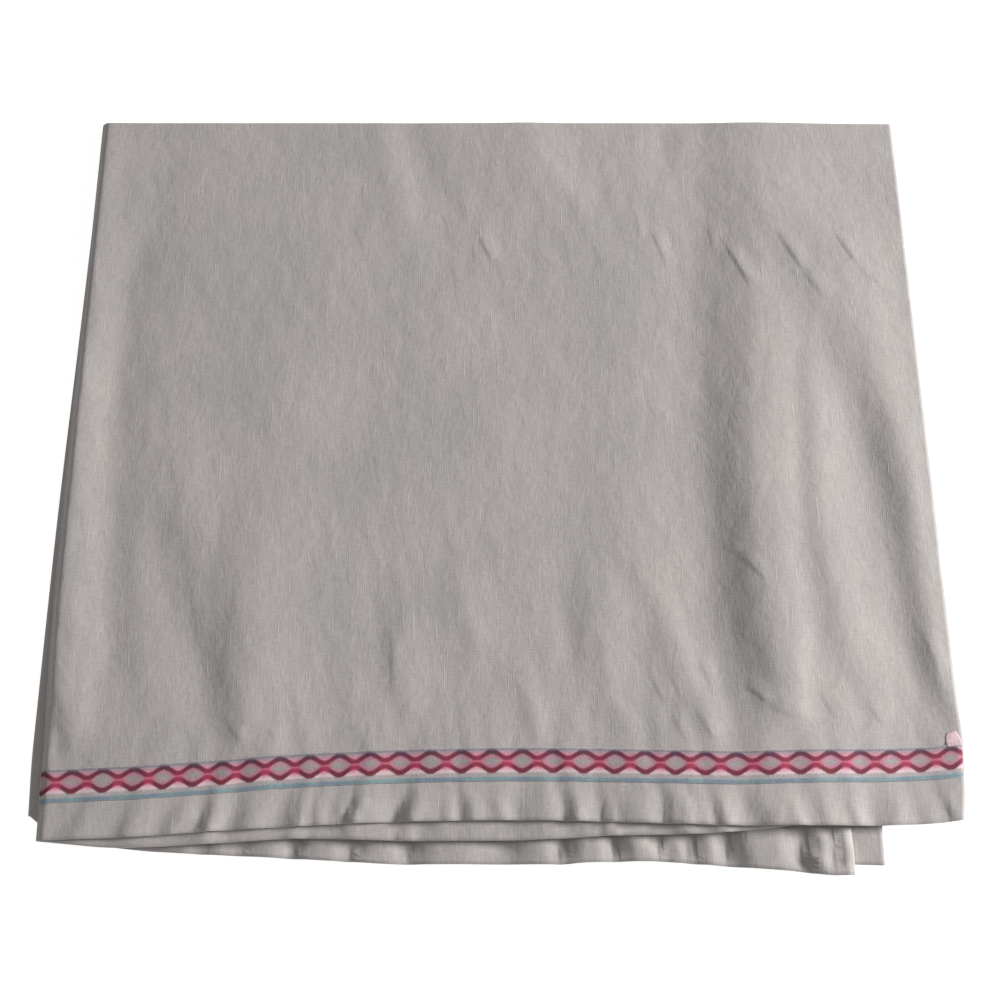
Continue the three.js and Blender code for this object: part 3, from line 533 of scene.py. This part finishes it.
def swell(x, y, seed, count, shortest, longest, stretch):
    """A sum of sine waves whose directions, lengths and phases come from a seeded generator."""
    rng = np.random.default_rng(seed)
    total = np.zeros_like(x)
    for _ in range(count):
        length = shortest * (longest / shortest) ** rng.random()
        turn = rng.normal(0, SWELL_TURN)
        phase = rng.random() * 2 * math.pi
        across = (x * math.cos(turn) + y * math.sin(turn)) / length
        down = (-x * math.sin(turn) + y * math.cos(turn)) / (length * stretch)
        bend = SWELL_BEND * np.sin(down * 2 * math.pi + phase * SWELL_BEND_PHASE)
        total += np.sin(across * 2 * math.pi + bend + phase)
    return total / math.sqrt(count)


def hem_wave(layer, x, y, hem_y):
    """Height of a gathered hem. In the top layer its pleats are held down by the ribbon."""
    back = y - hem_y
    wander = PLEAT_WANDER * swell(x, y, *PLEAT_SWELL)
    leaning = x - table_at(LEAN, x) * (back - LEAN_PIVOT) + wander
    wave = WAVE_HEIGHT[layer] * table_at(HEM_WAVES[layer], leaning)
    near, far = (
        mix(before, after, smooth_step((back - start) / length))
        for before, after, start, length in PLEAT_STEPS[layer]
    )
    fade = near * far
    held = fade if layer == "top" else far
    return wave * fade + WAVE_LIFT[layer] * held


def missing(layer, x, y):
    """How much a layer is missing past its right-hand edge, as a share."""
    edge = table_at(RIGHT_EDGE[layer], depth_of(y))
    closed = table_at(SINK_SHARE, depth_of(y))
    return closed * smooth_step((x - edge - SINK_STARTS) / SINK_REACH[layer])


def at_least(value, least):
    """The larger of the two, with a rounded turn where they cross."""
    over = value - least
    return least + 0.5 * (over + np.sqrt(over * over + ROOM_ROUNDING * ROOM_ROUNDING))


def roll_rise(inward):
    """0 at a fold, rising as a quarter of an ellipse to 1 at the end of the roll."""
    held = np.clip(inward / ROLL_REACH, 0, 1)
    return np.sqrt(1 - (1 - held) ** 2)


def room_sizes(x, y):
    """Height of each room of the stack at each place."""
    depth = depth_of(y)
    right = nearness(RIGHT_EDGE["top"][0][1] - x)
    back = nearness(BACK_EDGE - y)
    small_back = nearness(y - BACK_EDGE, SMALL_BACK_REACH)
    front = nearness(y - FRONT_LINE, MOUTH_REACH)
    rise = roll_rise(x - table_at(LEFT_FOLD[UPPER], depth) - FOLD_OUTSIDE)
    low_rise = roll_rise(x - table_at(LEFT_FOLD[LOWER], depth) - FOLD_OUTSIDE)
    hem = {layer: hem_wave(layer, x, y, table_at(FRONT_HEM[layer], x)) for layer in WAVE_HEIGHT}

    # unevenness of the surfaces
    under = LOW_SWELL_HEIGHT * swell(x, y, *LOW_SWELL) * (1 - SWELL_PRESSED_BACK * back) * rise
    small = SMALL_HEIGHT * swell(x, y, *SMALL_UNEVENNESS) * (1 - SMALL_PRESSED_BACK * small_back)
    soft = (fold_lift(TOP_FOLDS, x, y) + crease_lift(x, y)) * rise
    third = hem["third"] + fold_lift(THIRD_FOLDS, x, y)
    second = hem["second"] + SECOND_SWELL * under
    top = soft + hem["top"] * mix(ROLL_PLEATS, 1.0, rise) + small + under

    # the gaps between them, where no layer is missing
    opened = ROLL_HEIGHT * rise * (1 - ROLL_PRESSED_BACK * back)
    lower_pressed = 1 - LOWER_GAP_PRESSED_FRONT * front - GAPS_PRESSED_RIGHT * right
    lower_gap = PAIR_GAP * mix(ROLL_PRESSED, 1, low_rise) * lower_pressed + third
    middle_gap = MIDDLE_GAP + MOUTH_OPEN * front * low_rise + second - third
    upper_gap = PAIR_GAP * mix(ROLL_PRESSED, 1, rise) * (1 - GAPS_PRESSED_RIGHT * right)
    upper_gap = upper_gap + opened + top - second
    in_front = smooth_step((FRONT_LINE + RIBBON_ROOM_REACH - y) / RIBBON_ROOM_FADE)
    least_middle = mix(LEAST_ROOM, RIBBON_ROOM, in_front)

    no_second, no_third, no_bottom = (missing(n, x, y) for n in ("second", "third", "bottom"))
    no_middle = np.maximum(no_second, no_third)
    return {
        "bottom": CLOTH_THICK * (1 - no_bottom),
        "lower_gap": at_least(lower_gap * (1 - LOWER_GAP_SINKS * no_third), LEAST_ROOM),
        "third": CLOTH_THICK * (1 - no_third),
        "middle_gap": at_least(
            middle_gap * (1 - MIDDLE_GAP_SINKS * no_middle),
            mix(least_middle, LEAST_ROOM, no_second),
        ),
        "second": CLOTH_THICK * (1 - no_second),
        "upper_gap": at_least(upper_gap * (1 - UPPER_GAP_SINKS * no_second), LEAST_ROOM),
    }


def settle(x, y, height):
    """Moves heights of the even stack to those of the uneven one, never past each other."""
    sizes = room_sizes(x, y)
    settled = height.copy()
    start = 0.0
    for room, even in EVEN_ROOMS.items():
        inside = np.clip(height - start, 0, even)
        settled += (sizes[room] / even - 1) * inside
        start += even
    return settled


def evenly(start, stop, step):
    count = max(1, int(round(abs(stop - start) / step)))
    return list(np.linspace(start, stop, count + 1))


def sheet_columns():
    """Columns from the top layer's side hem, round the left fold, to the second layer's edge.

    Each is its part, its share of that part's width, and its turn round the fold."""
    outer = [SIDE_HEM_SHARE * share for share in HEM_COLUMNS]
    outer += evenly(
        SIDE_HEM_SHARE * EVEN_FROM_HEM, 1 - EVEN_FROM_FOLD / TOP_WIDTH, TOP_STEP / TOP_WIDTH
    )
    outer += [1 - distance / TOP_WIDTH for distance in reversed(NEAR_FOLD)]
    inner = [distance / SECOND_WIDTH for distance in NEAR_FOLD]
    inner += evenly(EVEN_FROM_FOLD / SECOND_WIDTH, 1.0, INNER_STEP / SECOND_WIDTH)
    rows = [(OUTER, along, 0.0) for along in outer]
    rows += [(FOLD, 0.0, math.pi * i / FOLD_STEPS) for i in range(FOLD_STEPS + 1)]
    rows += [(INNER, along, 0.0) for along in inner]
    return np.array(rows).T


def sheet_rows():
    """Rows from the upper front hems, round the back fold, to the lower front hems.

    Each is its pair, its share of the way from hem to ribbon, its distance behind the ribbon's
    near edge, its share of the body's depth, and its bend round the back fold."""
    body = evenly(0.0, 1.0, ROW_STEP / BODY_DEPTH)[:-1]
    hidden = evenly(0.0, 1.0, HIDDEN_ROW_STEP / BODY_DEPTH)[:-1]
    past = [RIBBON_WIDE * i / RIBBON_ROWS for i in range(1, RIBBON_ROWS)]
    upper = [(UPPER, inset, 0.0, 0.0, 0.0) for inset in HEM_ROWS]
    upper += [(UPPER, 1.0, p, 0.0, 0.0) for p in past]
    upper += [(UPPER, 1.0, RIBBON_WIDE, share, 0.0) for share in body]
    back = [(BACK, 1.0, 0.0, 0.0, math.pi * i / BACK_STEPS) for i in range(BACK_STEPS + 1)]
    lower = [(LOWER, inset, 0.0, 0.0, 0.0) for inset in HEM_ROWS]
    lower += [(LOWER, 1.0, p, 0.0, 0.0) for p in past[1::2]]
    lower += [(LOWER, 1.0, RIBBON_WIDE, share, 0.0) for share in hidden]
    return np.array(upper + back + lower[::-1]).T


def by_layer(part, pair, value_of):
    """The value of the layer that each place is on, where value_of gives it for a name."""
    upper = np.where(part == INNER, value_of("second"), value_of("top"))
    lower = np.where(part == INNER, value_of("third"), value_of("bottom"))
    return np.where(pair == LOWER, lower, upper)


def column_x(part, pair, along, depth):
    """x of each column at the given depth, before it turns round a left fold."""
    left = np.where(
        pair == LOWER, table_at(LEFT_FOLD[LOWER], depth), table_at(LEFT_FOLD[UPPER], depth)
    )
    fold = left + FOLD_OUTSIDE
    edge = by_layer(part, pair, lambda layer: table_at(RIGHT_EDGE[layer], depth))
    outer, inner = mix(edge, fold, along), mix(fold, edge, along)
    return np.where(part == OUTER, outer, np.where(part == INNER, inner, fold))


def cloth_points(columns, rows, offset):
    """Points of the folded cloth on a grid of columns and rows.

    offset is the distance from the middle of the cloth's thickness, towards its right side."""
    part, along, turn = (v[:, None] for v in columns)
    pair, inset, past, body, bend = (v[None, :] for v in rows)
    radius = FOLD_RADIUS + offset
    side = np.where(part == OUTER, radius, np.where(part == INNER, -radius, radius * np.cos(turn)))
    bulge = np.where(part == FOLD, radius * np.sin(turn), 0.0)
    middle = STACK_HEIGHT / 2
    at_front = np.zeros(np.broadcast(part, pair).shape)
    front_x = column_x(part, pair, along, at_front)
    hem_y = by_layer(part, pair, lambda layer: table_at(FRONT_HEM[layer], front_x))
    body_from = hem_y + inset * table_at(RIBBON_INSET, front_x) + past
    body_to = BACK_EDGE - middle
    y = mix(body_from, body_to, body)
    depth = np.clip((y - hem_y) / (body_to - hem_y), 0, 1)
    depth = np.where(pair == BACK, 1.0, depth)
    x = column_x(part, pair, along, depth) - bulge
    lift = np.where(pair == BACK, np.cos(bend), np.where(pair == LOWER, -1.0, 1.0))
    y = np.where(pair == BACK, body_to + (BACK_RADIUS + side) * np.sin(bend), y)
    height = middle + lift * (BACK_RADIUS + side)
    return np.stack([x, y, settle(x, y, height)], axis=-1)


def closed_sheet(name, outside, inside, uv, rim_out, material):
    """A closed mesh between two grids, its rims rounded, with UVs in metres of flat cloth."""
    across, down = outside.shape[:2]
    count = across * down
    ring = [(0, j) for j in range(down)]
    ring += [(i, down - 1) for i in range(1, across)]
    ring += [(across - 1, j) for j in range(down - 2, -1, -1)]
    ring += [(i, 0) for i in range(across - 2, 0, -1)]
    ring_i, ring_j = np.array(ring).T
    out_rim, in_rim = outside[ring_i, ring_j], inside[ring_i, ring_j]
    outward = out_rim - outside[np.clip(ring_i, 1, across - 2), np.clip(ring_j, 1, down - 2)]
    outward /= np.maximum(np.linalg.norm(outward, axis=1, keepdims=True), 1e-9)
    rim = (out_rim + in_rim) / 2 + outward * rim_out
    points = np.concatenate([outside.reshape(-1, 3), inside.reshape(-1, 3), rim])
    points = (points + [PLAN_SHIFT[0], PLAN_SHIFT[1], 0.0]) * MM
    index = np.arange(count).reshape(across, down)
    a, b = index[:-1, :-1].ravel(), index[:-1, 1:].ravel()
    c, d = index[1:, 1:].ravel(), index[1:, :-1].ravel()
    quads_out = np.stack([a, b, c, d], axis=1)
    quads_in = np.stack([a, d, c, b], axis=1) + count
    at = index[ring_i, ring_j]
    following = np.roll(at, -1)
    rim_at = np.arange(len(ring)) + 2 * count
    rim_next = np.roll(rim_at, -1)
    edge_out = np.stack([following, at, rim_at, rim_next], axis=1)
    edge_in = np.stack([rim_next, rim_at, at + count, following + count], axis=1)
    faces = np.concatenate([quads_out, quads_in, edge_out, edge_in])
    mesh = bpy.data.meshes.new(name)
    mesh.from_pydata(points.tolist(), [], faces.tolist())
    uv_flat = np.concatenate([uv.reshape(-1, 2), uv.reshape(-1, 2), uv[ring_i, ring_j]])
    layer = mesh.uv_layers.new(name="UVMap")
    layer.data.foreach_set("uv", uv_flat[faces.ravel()].astype("f").ravel())
    mesh.polygons.foreach_set("use_smooth", [True] * len(faces))
    mesh.validate()
    mesh.update()
    mesh.materials.append(material)
    return place_object(name, mesh)


def place_object(name, data):
    made = bpy.data.objects.new(name, data)
    bpy.context.scene.collection.objects.link(made)
    return made


def lay_creases(piece):
    """A second UV map that places the pressed creases: every face belongs to its nearest one.

    Its u is the distance across the crease in steep widths, its v the crease's height there."""
    mesh = piece.data
    corners = np.array([loop.vertex_index for loop in mesh.loops])
    points = np.array([vertex.co[:2] for vertex in mesh.vertices]) / MM - PLAN_SHIFT
    first = np.array([face.loop_start for face in mesh.polygons])
    sizes = np.array([face.loop_total for face in mesh.polygons])
    centres = np.add.reduceat(points[corners], first, axis=0) / sizes[:, None]
    nearest = np.full(len(sizes), np.inf)
    values = np.tile([NO_CREASE, 0.0], (len(corners), 1))
    for crease in CREASES:
        width, high = crease[4:]
        along, across, length = from_crease(crease, *centres.T)
        distance = np.hypot(across, np.maximum(0, np.maximum(-along, along - length)))
        closer = distance < np.minimum(nearest, CREASE_FACES)
        nearest = np.where(closer, distance, nearest)
        chosen = np.repeat(closer, sizes)
        along, across, _ = from_crease(crease, *points[corners[chosen]].T)
        steep = CREASE_STEEP * high * crease_ends(along / length)
        values[chosen] = np.stack([across / width, steep], axis=1)
    layer = mesh.uv_layers.new(name="creases", do_init=False)
    layer.data.foreach_set("uv", values.astype("f").ravel())
    mesh.uv_layers["UVMap"].active_render = True


def grid_uv(points):
    """Distances along the grid in both directions, in metres."""
    step_u = np.linalg.norm(np.diff(points, axis=0), axis=2).mean(axis=1)
    step_v = np.linalg.norm(np.diff(points, axis=1), axis=2).mean(axis=0)
    u = np.concatenate([[0], np.cumsum(step_u)]) * MM
    v = np.concatenate([[0], np.cumsum(step_v)]) * MM
    return np.stack(np.meshgrid(u, v, indexing="ij"), axis=-1)


def colour(red, green, blue):
    """A colour given as it looks on a screen, 0 to 255, as the shader needs it."""
    linear = []
    for value in (red, green, blue):
        c = value / 255
        linear.append(c / 12.92 if c <= 0.04045 else ((c + 0.055) / 1.055) ** 2.4)
    return (*linear, 1.0)


class Nodes:
    """Short names for building a material from nodes."""

    def __init__(self, name):
        self.material = bpy.data.materials.new(name)
        self.material.use_nodes = True
        self.tree = self.material.node_tree
        self.shader = self.tree.nodes["Principled BSDF"]
        self.uv = self.tree.nodes.new("ShaderNodeUVMap").outputs[0]

    def put(self, socket, value):
        if isinstance(value, bpy.types.NodeSocket):
            self.tree.links.new(value, socket)
        else:
            socket.default_value = value

    def math(self, kind, a, b=0.0, c=0.0):
        node = self.tree.nodes.new("ShaderNodeMath")
        node.operation = kind
        for socket, value in zip(node.inputs, (a, b, c)):
            self.put(socket, value)
        return node.outputs[0]

    def times(self, a, b):
        return self.math("MULTIPLY", a, b)

    def spread(self, value, low, high, to_low=0.0, to_high=1.0, kind="SMOOTHSTEP"):
        node = self.tree.nodes.new("ShaderNodeMapRange")
        node.interpolation_type = kind
        for socket, given in zip(node.inputs, (value, low, high, to_low, to_high)):
            self.put(socket, given)
        return node.outputs[0]

    def fade(self, distance, none, full):
        """A share that is 0 at the first distance and 1 at the second, both in mm."""
        return self.spread(distance, none * MM, full * MM)

    def blend(self, share, a, b, kind="MIX"):
        node = self.tree.nodes.new("ShaderNodeMix")
        node.data_type = "RGBA"
        node.blend_type = kind
        self.put(node.inputs[0], share)
        self.put(node.inputs[6], a)
        self.put(node.inputs[7], b)
        return node.outputs[2]

    def toned(self, base, threads, tones):
        tone = self.spread(threads, *THREAD_RANGE, *tones, "LINEAR")
        return self.blend(1.0, base, tone, "MULTIPLY")

    def split(self, vector):
        node = self.tree.nodes.new("ShaderNodeSeparateXYZ")
        self.put(node.inputs[0], vector)
        return node.outputs[0], node.outputs[1]

    def noise(self, across, up, shift=(0.0, 0.0), detail=2.0, rough=0.5, distort=0.0):
        """A noise with so many spots in a metre. Few across or few up draws them into threads."""
        mapping = self.tree.nodes.new("ShaderNodeMapping")
        self.put(mapping.inputs[0], self.uv)
        mapping.inputs[1].default_value = (*shift, 0.0)
        mapping.inputs[3].default_value = (across, up, 1.0)
        node = self.tree.nodes.new("ShaderNodeTexNoise")
        self.put(node.inputs["Vector"], mapping.outputs[0])
        node.inputs["Scale"].default_value = 1.0
        node.inputs["Detail"].default_value = detail
        node.inputs["Roughness"].default_value = rough
        node.inputs["Distortion"].default_value = distort
        return node.outputs[0]

    def bump(self, height, relief, under=None):
        """The surface raised by this many mm where the height is 1."""
        node = self.tree.nodes.new("ShaderNodeBump")
        node.inputs["Strength"].default_value = 1.0
        node.inputs["Distance"].default_value = relief * MM
        self.put(node.inputs["Height"], height)
        if under is not None:
            self.put(node.inputs["Normal"], under)
        return node.outputs[0]


def linen_material():
    n = Nodes("natural_linen")
    warp = n.noise(1150.0, 95.0, detail=1.5)
    weft = n.noise(80.0, 1150.0, (3.1, 7.7), detail=1.5)
    threads = n.math("ADD", warp, weft)
    slub_warp = n.spread(n.noise(620.0, 20.0, (11.0, 2.0)), 0.60, 0.78)
    slub_weft = n.spread(n.noise(22.0, 620.0, (5.0, 19.0)), 0.62, 0.80)
    slubs = n.math("ADD", slub_warp, n.times(slub_weft, 0.7))

    cloud = n.spread(n.noise(9.0, 7.0, detail=4.0, rough=0.6), 0.3, 0.7)
    faded = n.blend(cloud, colour(158, 153, 151), colour(167, 161, 158))
    toned = n.toned(faded, threads, LINEN_TONES)
    slubbed = n.blend(n.times(slubs, 0.30), toned, colour(190, 186, 180))
    n.put(n.shader.inputs["Base Color"], slubbed)
    n.shader.inputs["Roughness"].default_value = 0.92
    n.shader.inputs["Sheen Weight"].default_value = 0.12
    n.shader.inputs["Sheen Roughness"].default_value = 0.6
    n.shader.inputs["Specular IOR Level"].default_value = 0.25

    crease_map = n.tree.nodes.new("ShaderNodeUVMap")
    crease_map.uv_map = "creases"
    across, high = n.split(crease_map.outputs[0])
    steep_side, long_side = (n.spread(across, end, 0.0) for end in CREASE_SIDES)
    creased = n.bump(n.times(n.times(steep_side, long_side), high), CREASE_RELIEF)
    crumple = n.noise(62.0, 36.0, detail=4.0, rough=0.55, distort=0.5)
    crumpled = n.bump(crumple, CRUMPLE_RELIEF, under=creased)
    finer = n.bump(n.noise(240.0, 150.0, (1.0, 4.0)), FINE_RELIEF, under=crumpled)
    weave = n.math("ADD", threads, n.times(slubs, 0.8))
    n.put(n.shader.inputs["Normal"], n.bump(weave, WEAVE_RELIEF, under=finer))
    return n.material


def ribbon_material():
    n = Nodes("woven_ribbon")
    wobble = n.noise(55.0, 30.0, (2.0, 2.0), detail=1.0)
    hue = n.noise(24.0, 6.0, (8.0, 8.0), detail=1.0)

    # place in the pattern, which moves on in steps as woven threads do
    u, v = n.split(n.uv)
    along = n.math("SNAP", u, THREAD_STEP * MM)
    up = n.math("SNAP", v, THREAD_STEP * MM * THREAD_RISE)
    along = n.math("SUBTRACT", along, FIRST_DIAMOND * MM)
    turn = n.times(along, 2 * math.pi / (REPEAT * MM))
    wave = n.math("COSINE", turn)
    slope = n.math("ABSOLUTE", n.math("SINE", turn))
    centre = n.math("SUBTRACT", up, PATTERN_CENTRE * MM)
    off = n.math("ABSOLUTE", centre)
    far_half = n.fade(centre, -0.5, 0.5)
    near_half = n.math("SUBTRACT", 1.0, far_half)
    crest = n.spread(wave, 0.2, 0.95)
    crossing = n.spread(wave, -0.2, -0.9)

    # the wavy lines: distance past them, and the share that is on them
    line = n.math("MULTIPLY_ADD", wave, WAVE_SWING * MM, WAVE_MIDDLE * MM)
    wobble = n.times(n.math("SUBTRACT", wobble, 0.5), WAVE_WOBBLE * MM)
    past = n.math("SUBTRACT", off, n.math("ADD", line, wobble))
    slanted = n.math("MULTIPLY_ADD", slope, SLOPE_EXTRA, 1.0)
    near = n.math("DIVIDE", n.math("ABSOLUTE", past), slanted)
    near = n.math("SUBTRACT", near, n.times(crest, CREST_EXTRA * MM))
    on_line = n.fade(near, 2.55, 0.95)

    # diamonds inside them, wedges that pass into the ground outside them
    rim = n.times(n.fade(past, -7.6, -2.6), n.spread(hue, 0.36, 0.56, 0.5, 1.15))
    diamond = n.blend(n.times(rim, 0.85), colour(148, 144, 142), colour(178, 112, 134))
    pale = n.blend(far_half, colour(208, 182, 188), colour(160, 140, 147))
    wedge = n.blend(n.fade(off, 4.6, 8.6), colour(206, 130, 152), pale)
    wedge = n.blend(n.fade(off, 8.6, 10.6), wedge, colour(162, 154, 155))
    pattern = n.blend(n.fade(past, -0.2, 0.4), diamond, wedge)
    core = n.times(n.fade(off, 3.0, 1.6), n.spread(wave, -0.3, -0.85))
    pattern = n.blend(core, pattern, colour(170, 66, 92))

    # the wavy lines over them, brighter at the crossings and browner in the near half
    bright = n.times(crossing, n.spread(far_half, 0.0, 1.0, 1.0, 0.35))
    red = n.blend(bright, colour(108, 38, 56), colour(156, 50, 82))
    brown = n.times(n.spread(hue, 0.5, 0.62), near_half)
    red = n.blend(n.times(brown, 0.6), red, colour(116, 42, 46))
    plum = n.blend(n.times(crest, far_half), red, colour(84, 48, 68))
    pattern = n.blend(on_line, pattern, plum)

    # the thin line through the crossings, and the lines along the ribbon's sides
    thin = n.times(n.fade(off, 1.3, 0.5), n.spread(wave, 0.2, -0.5))
    pattern = n.blend(n.times(thin, 0.6), pattern, colour(196, 108, 128))
    near_off = n.math("ABSOLUTE", n.math("SUBTRACT", up, LOWER_LINE * MM))
    far_off = n.math("ABSOLUTE", n.math("SUBTRACT", up, UPPER_LINE * MM))
    near_line = n.fade(near_off, 2.5, 0.6)
    far_line = n.times(n.fade(far_off, 1.2, 0.5), 0.65)
    pattern = n.blend(far_line, pattern, colour(112, 112, 118))
    blue = n.blend(n.spread(hue, 0.38, 0.62), colour(114, 130, 146), colour(124, 150, 152))
    pattern = n.blend(near_line, pattern, blue)

    warp = n.noise(180.0, 1900.0, detail=1.0)
    weft = n.noise(1700.0, 240.0, (4.0, 1.0), detail=1.0)
    threads = n.math("ADD", warp, weft)
    n.put(n.shader.inputs["Base Color"], n.toned(pattern, threads, RIBBON_TONES))
    n.shader.inputs["Roughness"].default_value = 0.8
    n.shader.inputs["Sheen Weight"].default_value = 0.15
    n.shader.inputs["Specular IOR Level"].default_value = 0.3
    raised = n.math("ADD", n.times(on_line, 0.8), n.times(near_line, 0.6))
    relief = n.bump(raised, PATTERN_RELIEF)
    n.put(n.shader.inputs["Normal"], n.bump(threads, THREAD_RELIEF, under=relief))
    return n.material


def make_cloth():
    columns, rows = sheet_columns(), sheet_rows()
    half = CLOTH_THICK / 2
    outside = cloth_points(columns, rows, half)
    single = cloth_points(columns, rows, -half)
    double = cloth_points(columns, rows, -half - HEM_EXTRA)
    part, along = (v[:, None] for v in columns[:2])
    pair, inset, past, body = (v[None, :] for v in rows[:4])
    front_hem = (pair != BACK) & (body == 0) & (past == 0) & (inset < 1)
    side_hem = (part == OUTER) & (along < SIDE_HEM_SHARE)
    hem = front_hem | side_hem
    inside = np.where(hem[..., None], double, single)
    uv = grid_uv(outside)
    piece = closed_sheet("linen_cloth", outside, inside, uv, CLOTH_RIM, linen_material())
    lay_creases(piece)
    return piece


def ribbon_rows(distances):
    """Rows of the upper pair at these distances behind the ribbon's near edge."""
    return np.array([(UPPER, 1.0, past, 0.0, 0.0) for past in distances]).T


def make_ribbon():
    columns = sheet_columns()
    shares = [RIBBON_END / TOP_WIDTH] + [SIDE_HEM_SHARE * share for share in RIBBON_COLUMNS]
    first = np.array([(OUTER, share, 0.0) for share in shares]).T
    past_hem = (columns[0] != OUTER) | (columns[1] > SIDE_HEM_SHARE * RIBBON_FOLLOWS_FROM)
    between = columns[:, past_hem][:, :-1]
    last = np.array([[INNER], [1 - RIBBON_END / SECOND_WIDTH], [0.0]])
    columns = np.concatenate([first, between, last], axis=1)
    rows = ribbon_rows(RIBBON_WIDE * np.linspace(0, 1, RIBBON_ROWS + 1))
    outside = cloth_points(columns, rows, RIBBON_UNDER + RIBBON_THICK)
    inside = cloth_points(columns, rows, RIBBON_UNDER)
    uv = grid_uv(outside)
    uv[..., 0] -= table_at(RIBBON_SLIP, outside[..., 0]) * MM
    return closed_sheet("woven_ribbon", outside, inside, uv, RIBBON_RIM, ribbon_material())


def make_ribbon_end(material):
    """The ribbon's end, turned over the side hem, stands out above its far edge."""
    columns = np.array([(OUTER, SIDE_HEM_SHARE * share, 0.0) for share in TAB_COLUMNS]).T
    pasts = np.linspace(RIBBON_WIDE - TAB_OVERLAP, RIBBON_WIDE + TAB_LENGTH, TAB_ROWS)
    rows = ribbon_rows(pasts)
    swelling = np.sin(np.linspace(*TAB_SWELLING, len(TAB_COLUMNS)) * math.pi)[:, None]
    thick = TAB_THICK * mix(TAB_SIDE, 1.0, swelling)
    outside = cloth_points(columns, rows, RIBBON_UNDER + thick)
    inside = cloth_points(columns, rows, RIBBON_UNDER)
    lean = np.linspace(0, 1, TAB_ROWS)[None, :]
    over = smooth_step((RIBBON_WIDE + TAB_FALL[0] - pasts) / (TAB_FALL[0] - TAB_FALL[1]))[None, :]
    puffed = TAB_PUFF * swelling * np.sin(lean * math.pi)
    narrowed = 1 - TAB_NARROWED * lean**4
    middle_x = outside[..., 0].mean(axis=0)
    for grid in (outside, inside):
        grid[..., 0] = middle_x + (grid[..., 0] - middle_x) * narrowed - TAB_LEAN * lean
        grid[..., 2] += (RIBBON_THICK + TAB_CLEARANCE) * over + puffed
    uv = grid_uv(outside)
    uv[..., 0] += (FIRST_DIAMOND + REPEAT / 2 - TAB_BEFORE_CROSSING) * MM
    uv[..., 1] = (PATTERN_CENTRE - TAB_BELOW_CENTRE) * MM + uv[..., 1] * TAB_PATTERN_SHARE
    return closed_sheet("ribbon_end", outside, inside, uv, RIBBON_RIM, material)


def make_floor():
    half = FLOOR_SIZE / 2
    corners = [(-half, -half, 0), (half, -half, 0), (half, half, 0), (-half, half, 0)]
    mesh = bpy.data.meshes.new("floor")
    mesh.from_pydata(corners, [], [(0, 1, 2, 3)])
    paper = bpy.data.materials.new("white_floor")
    paper.use_nodes = True
    shader = paper.node_tree.nodes["Principled BSDF"]
    shader.inputs["Base Color"].default_value = (0.55, 0.55, 0.55, 1)
    shader.inputs["Roughness"].default_value = 0.9
    shader.inputs["Emission Color"].default_value = (1.0, 1.0, 1.0, 1)
    shader.inputs["Emission Strength"].default_value = 0.8
    mesh.materials.append(paper)
    return place_object("floor", mesh)


def soft_box(name, place, target, size, watts):
    data = bpy.data.lights.new(name, "AREA")
    data.shape = "RECTANGLE"
    data.size, data.size_y = size
    data.energy = watts
    box = place_object(name, data)
    box.location = place
    aim = [t - p for t, p in zip(target, place)]
    flat = math.hypot(aim[0], aim[1])
    box.rotation_euler = (math.atan2(flat, -aim[2]), 0, math.atan2(aim[1], aim[0]) - math.pi / 2)


def light_studio():
    world = bpy.data.worlds.new("studio")
    bpy.context.scene.world = world
    world.use_nodes = True
    background = world.node_tree.nodes["Background"]
    background.inputs[0].default_value = (1.0, 1.0, 1.0, 1)
    background.inputs[1].default_value = 0.27
    for lamp in LAMPS:
        soft_box(*lamp)


def place_camera():
    """The camera at the photograph's angle."""
    data = bpy.data.cameras.new("camera")
    data.sensor_width = SENSOR_MM
    data.lens = FOCAL_PIXELS / PICTURE_PIXELS * SENSOR_MM
    camera = place_object("camera", data)
    middle_x, middle_y = (shift * MM for shift in PLAN_SHIFT)
    camera.location = (middle_x, middle_y - CAMERA_FRONT, CAMERA_HEIGHT)
    camera.rotation_euler = (math.radians(90 - CAMERA_DOWN), 0, 0)
    bpy.context.scene.camera = camera
    bpy.context.scene.view_settings.view_transform = "Standard"


cloth = make_cloth()
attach(cloth, "root")
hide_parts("cloth")

ribbon = make_ribbon()
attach(ribbon, "root")
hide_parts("ribbon")

ribbon_end = make_ribbon_end(ribbon.data.materials[0])
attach(ribbon_end, "root")

floor = make_floor()
light_studio()
place_camera()
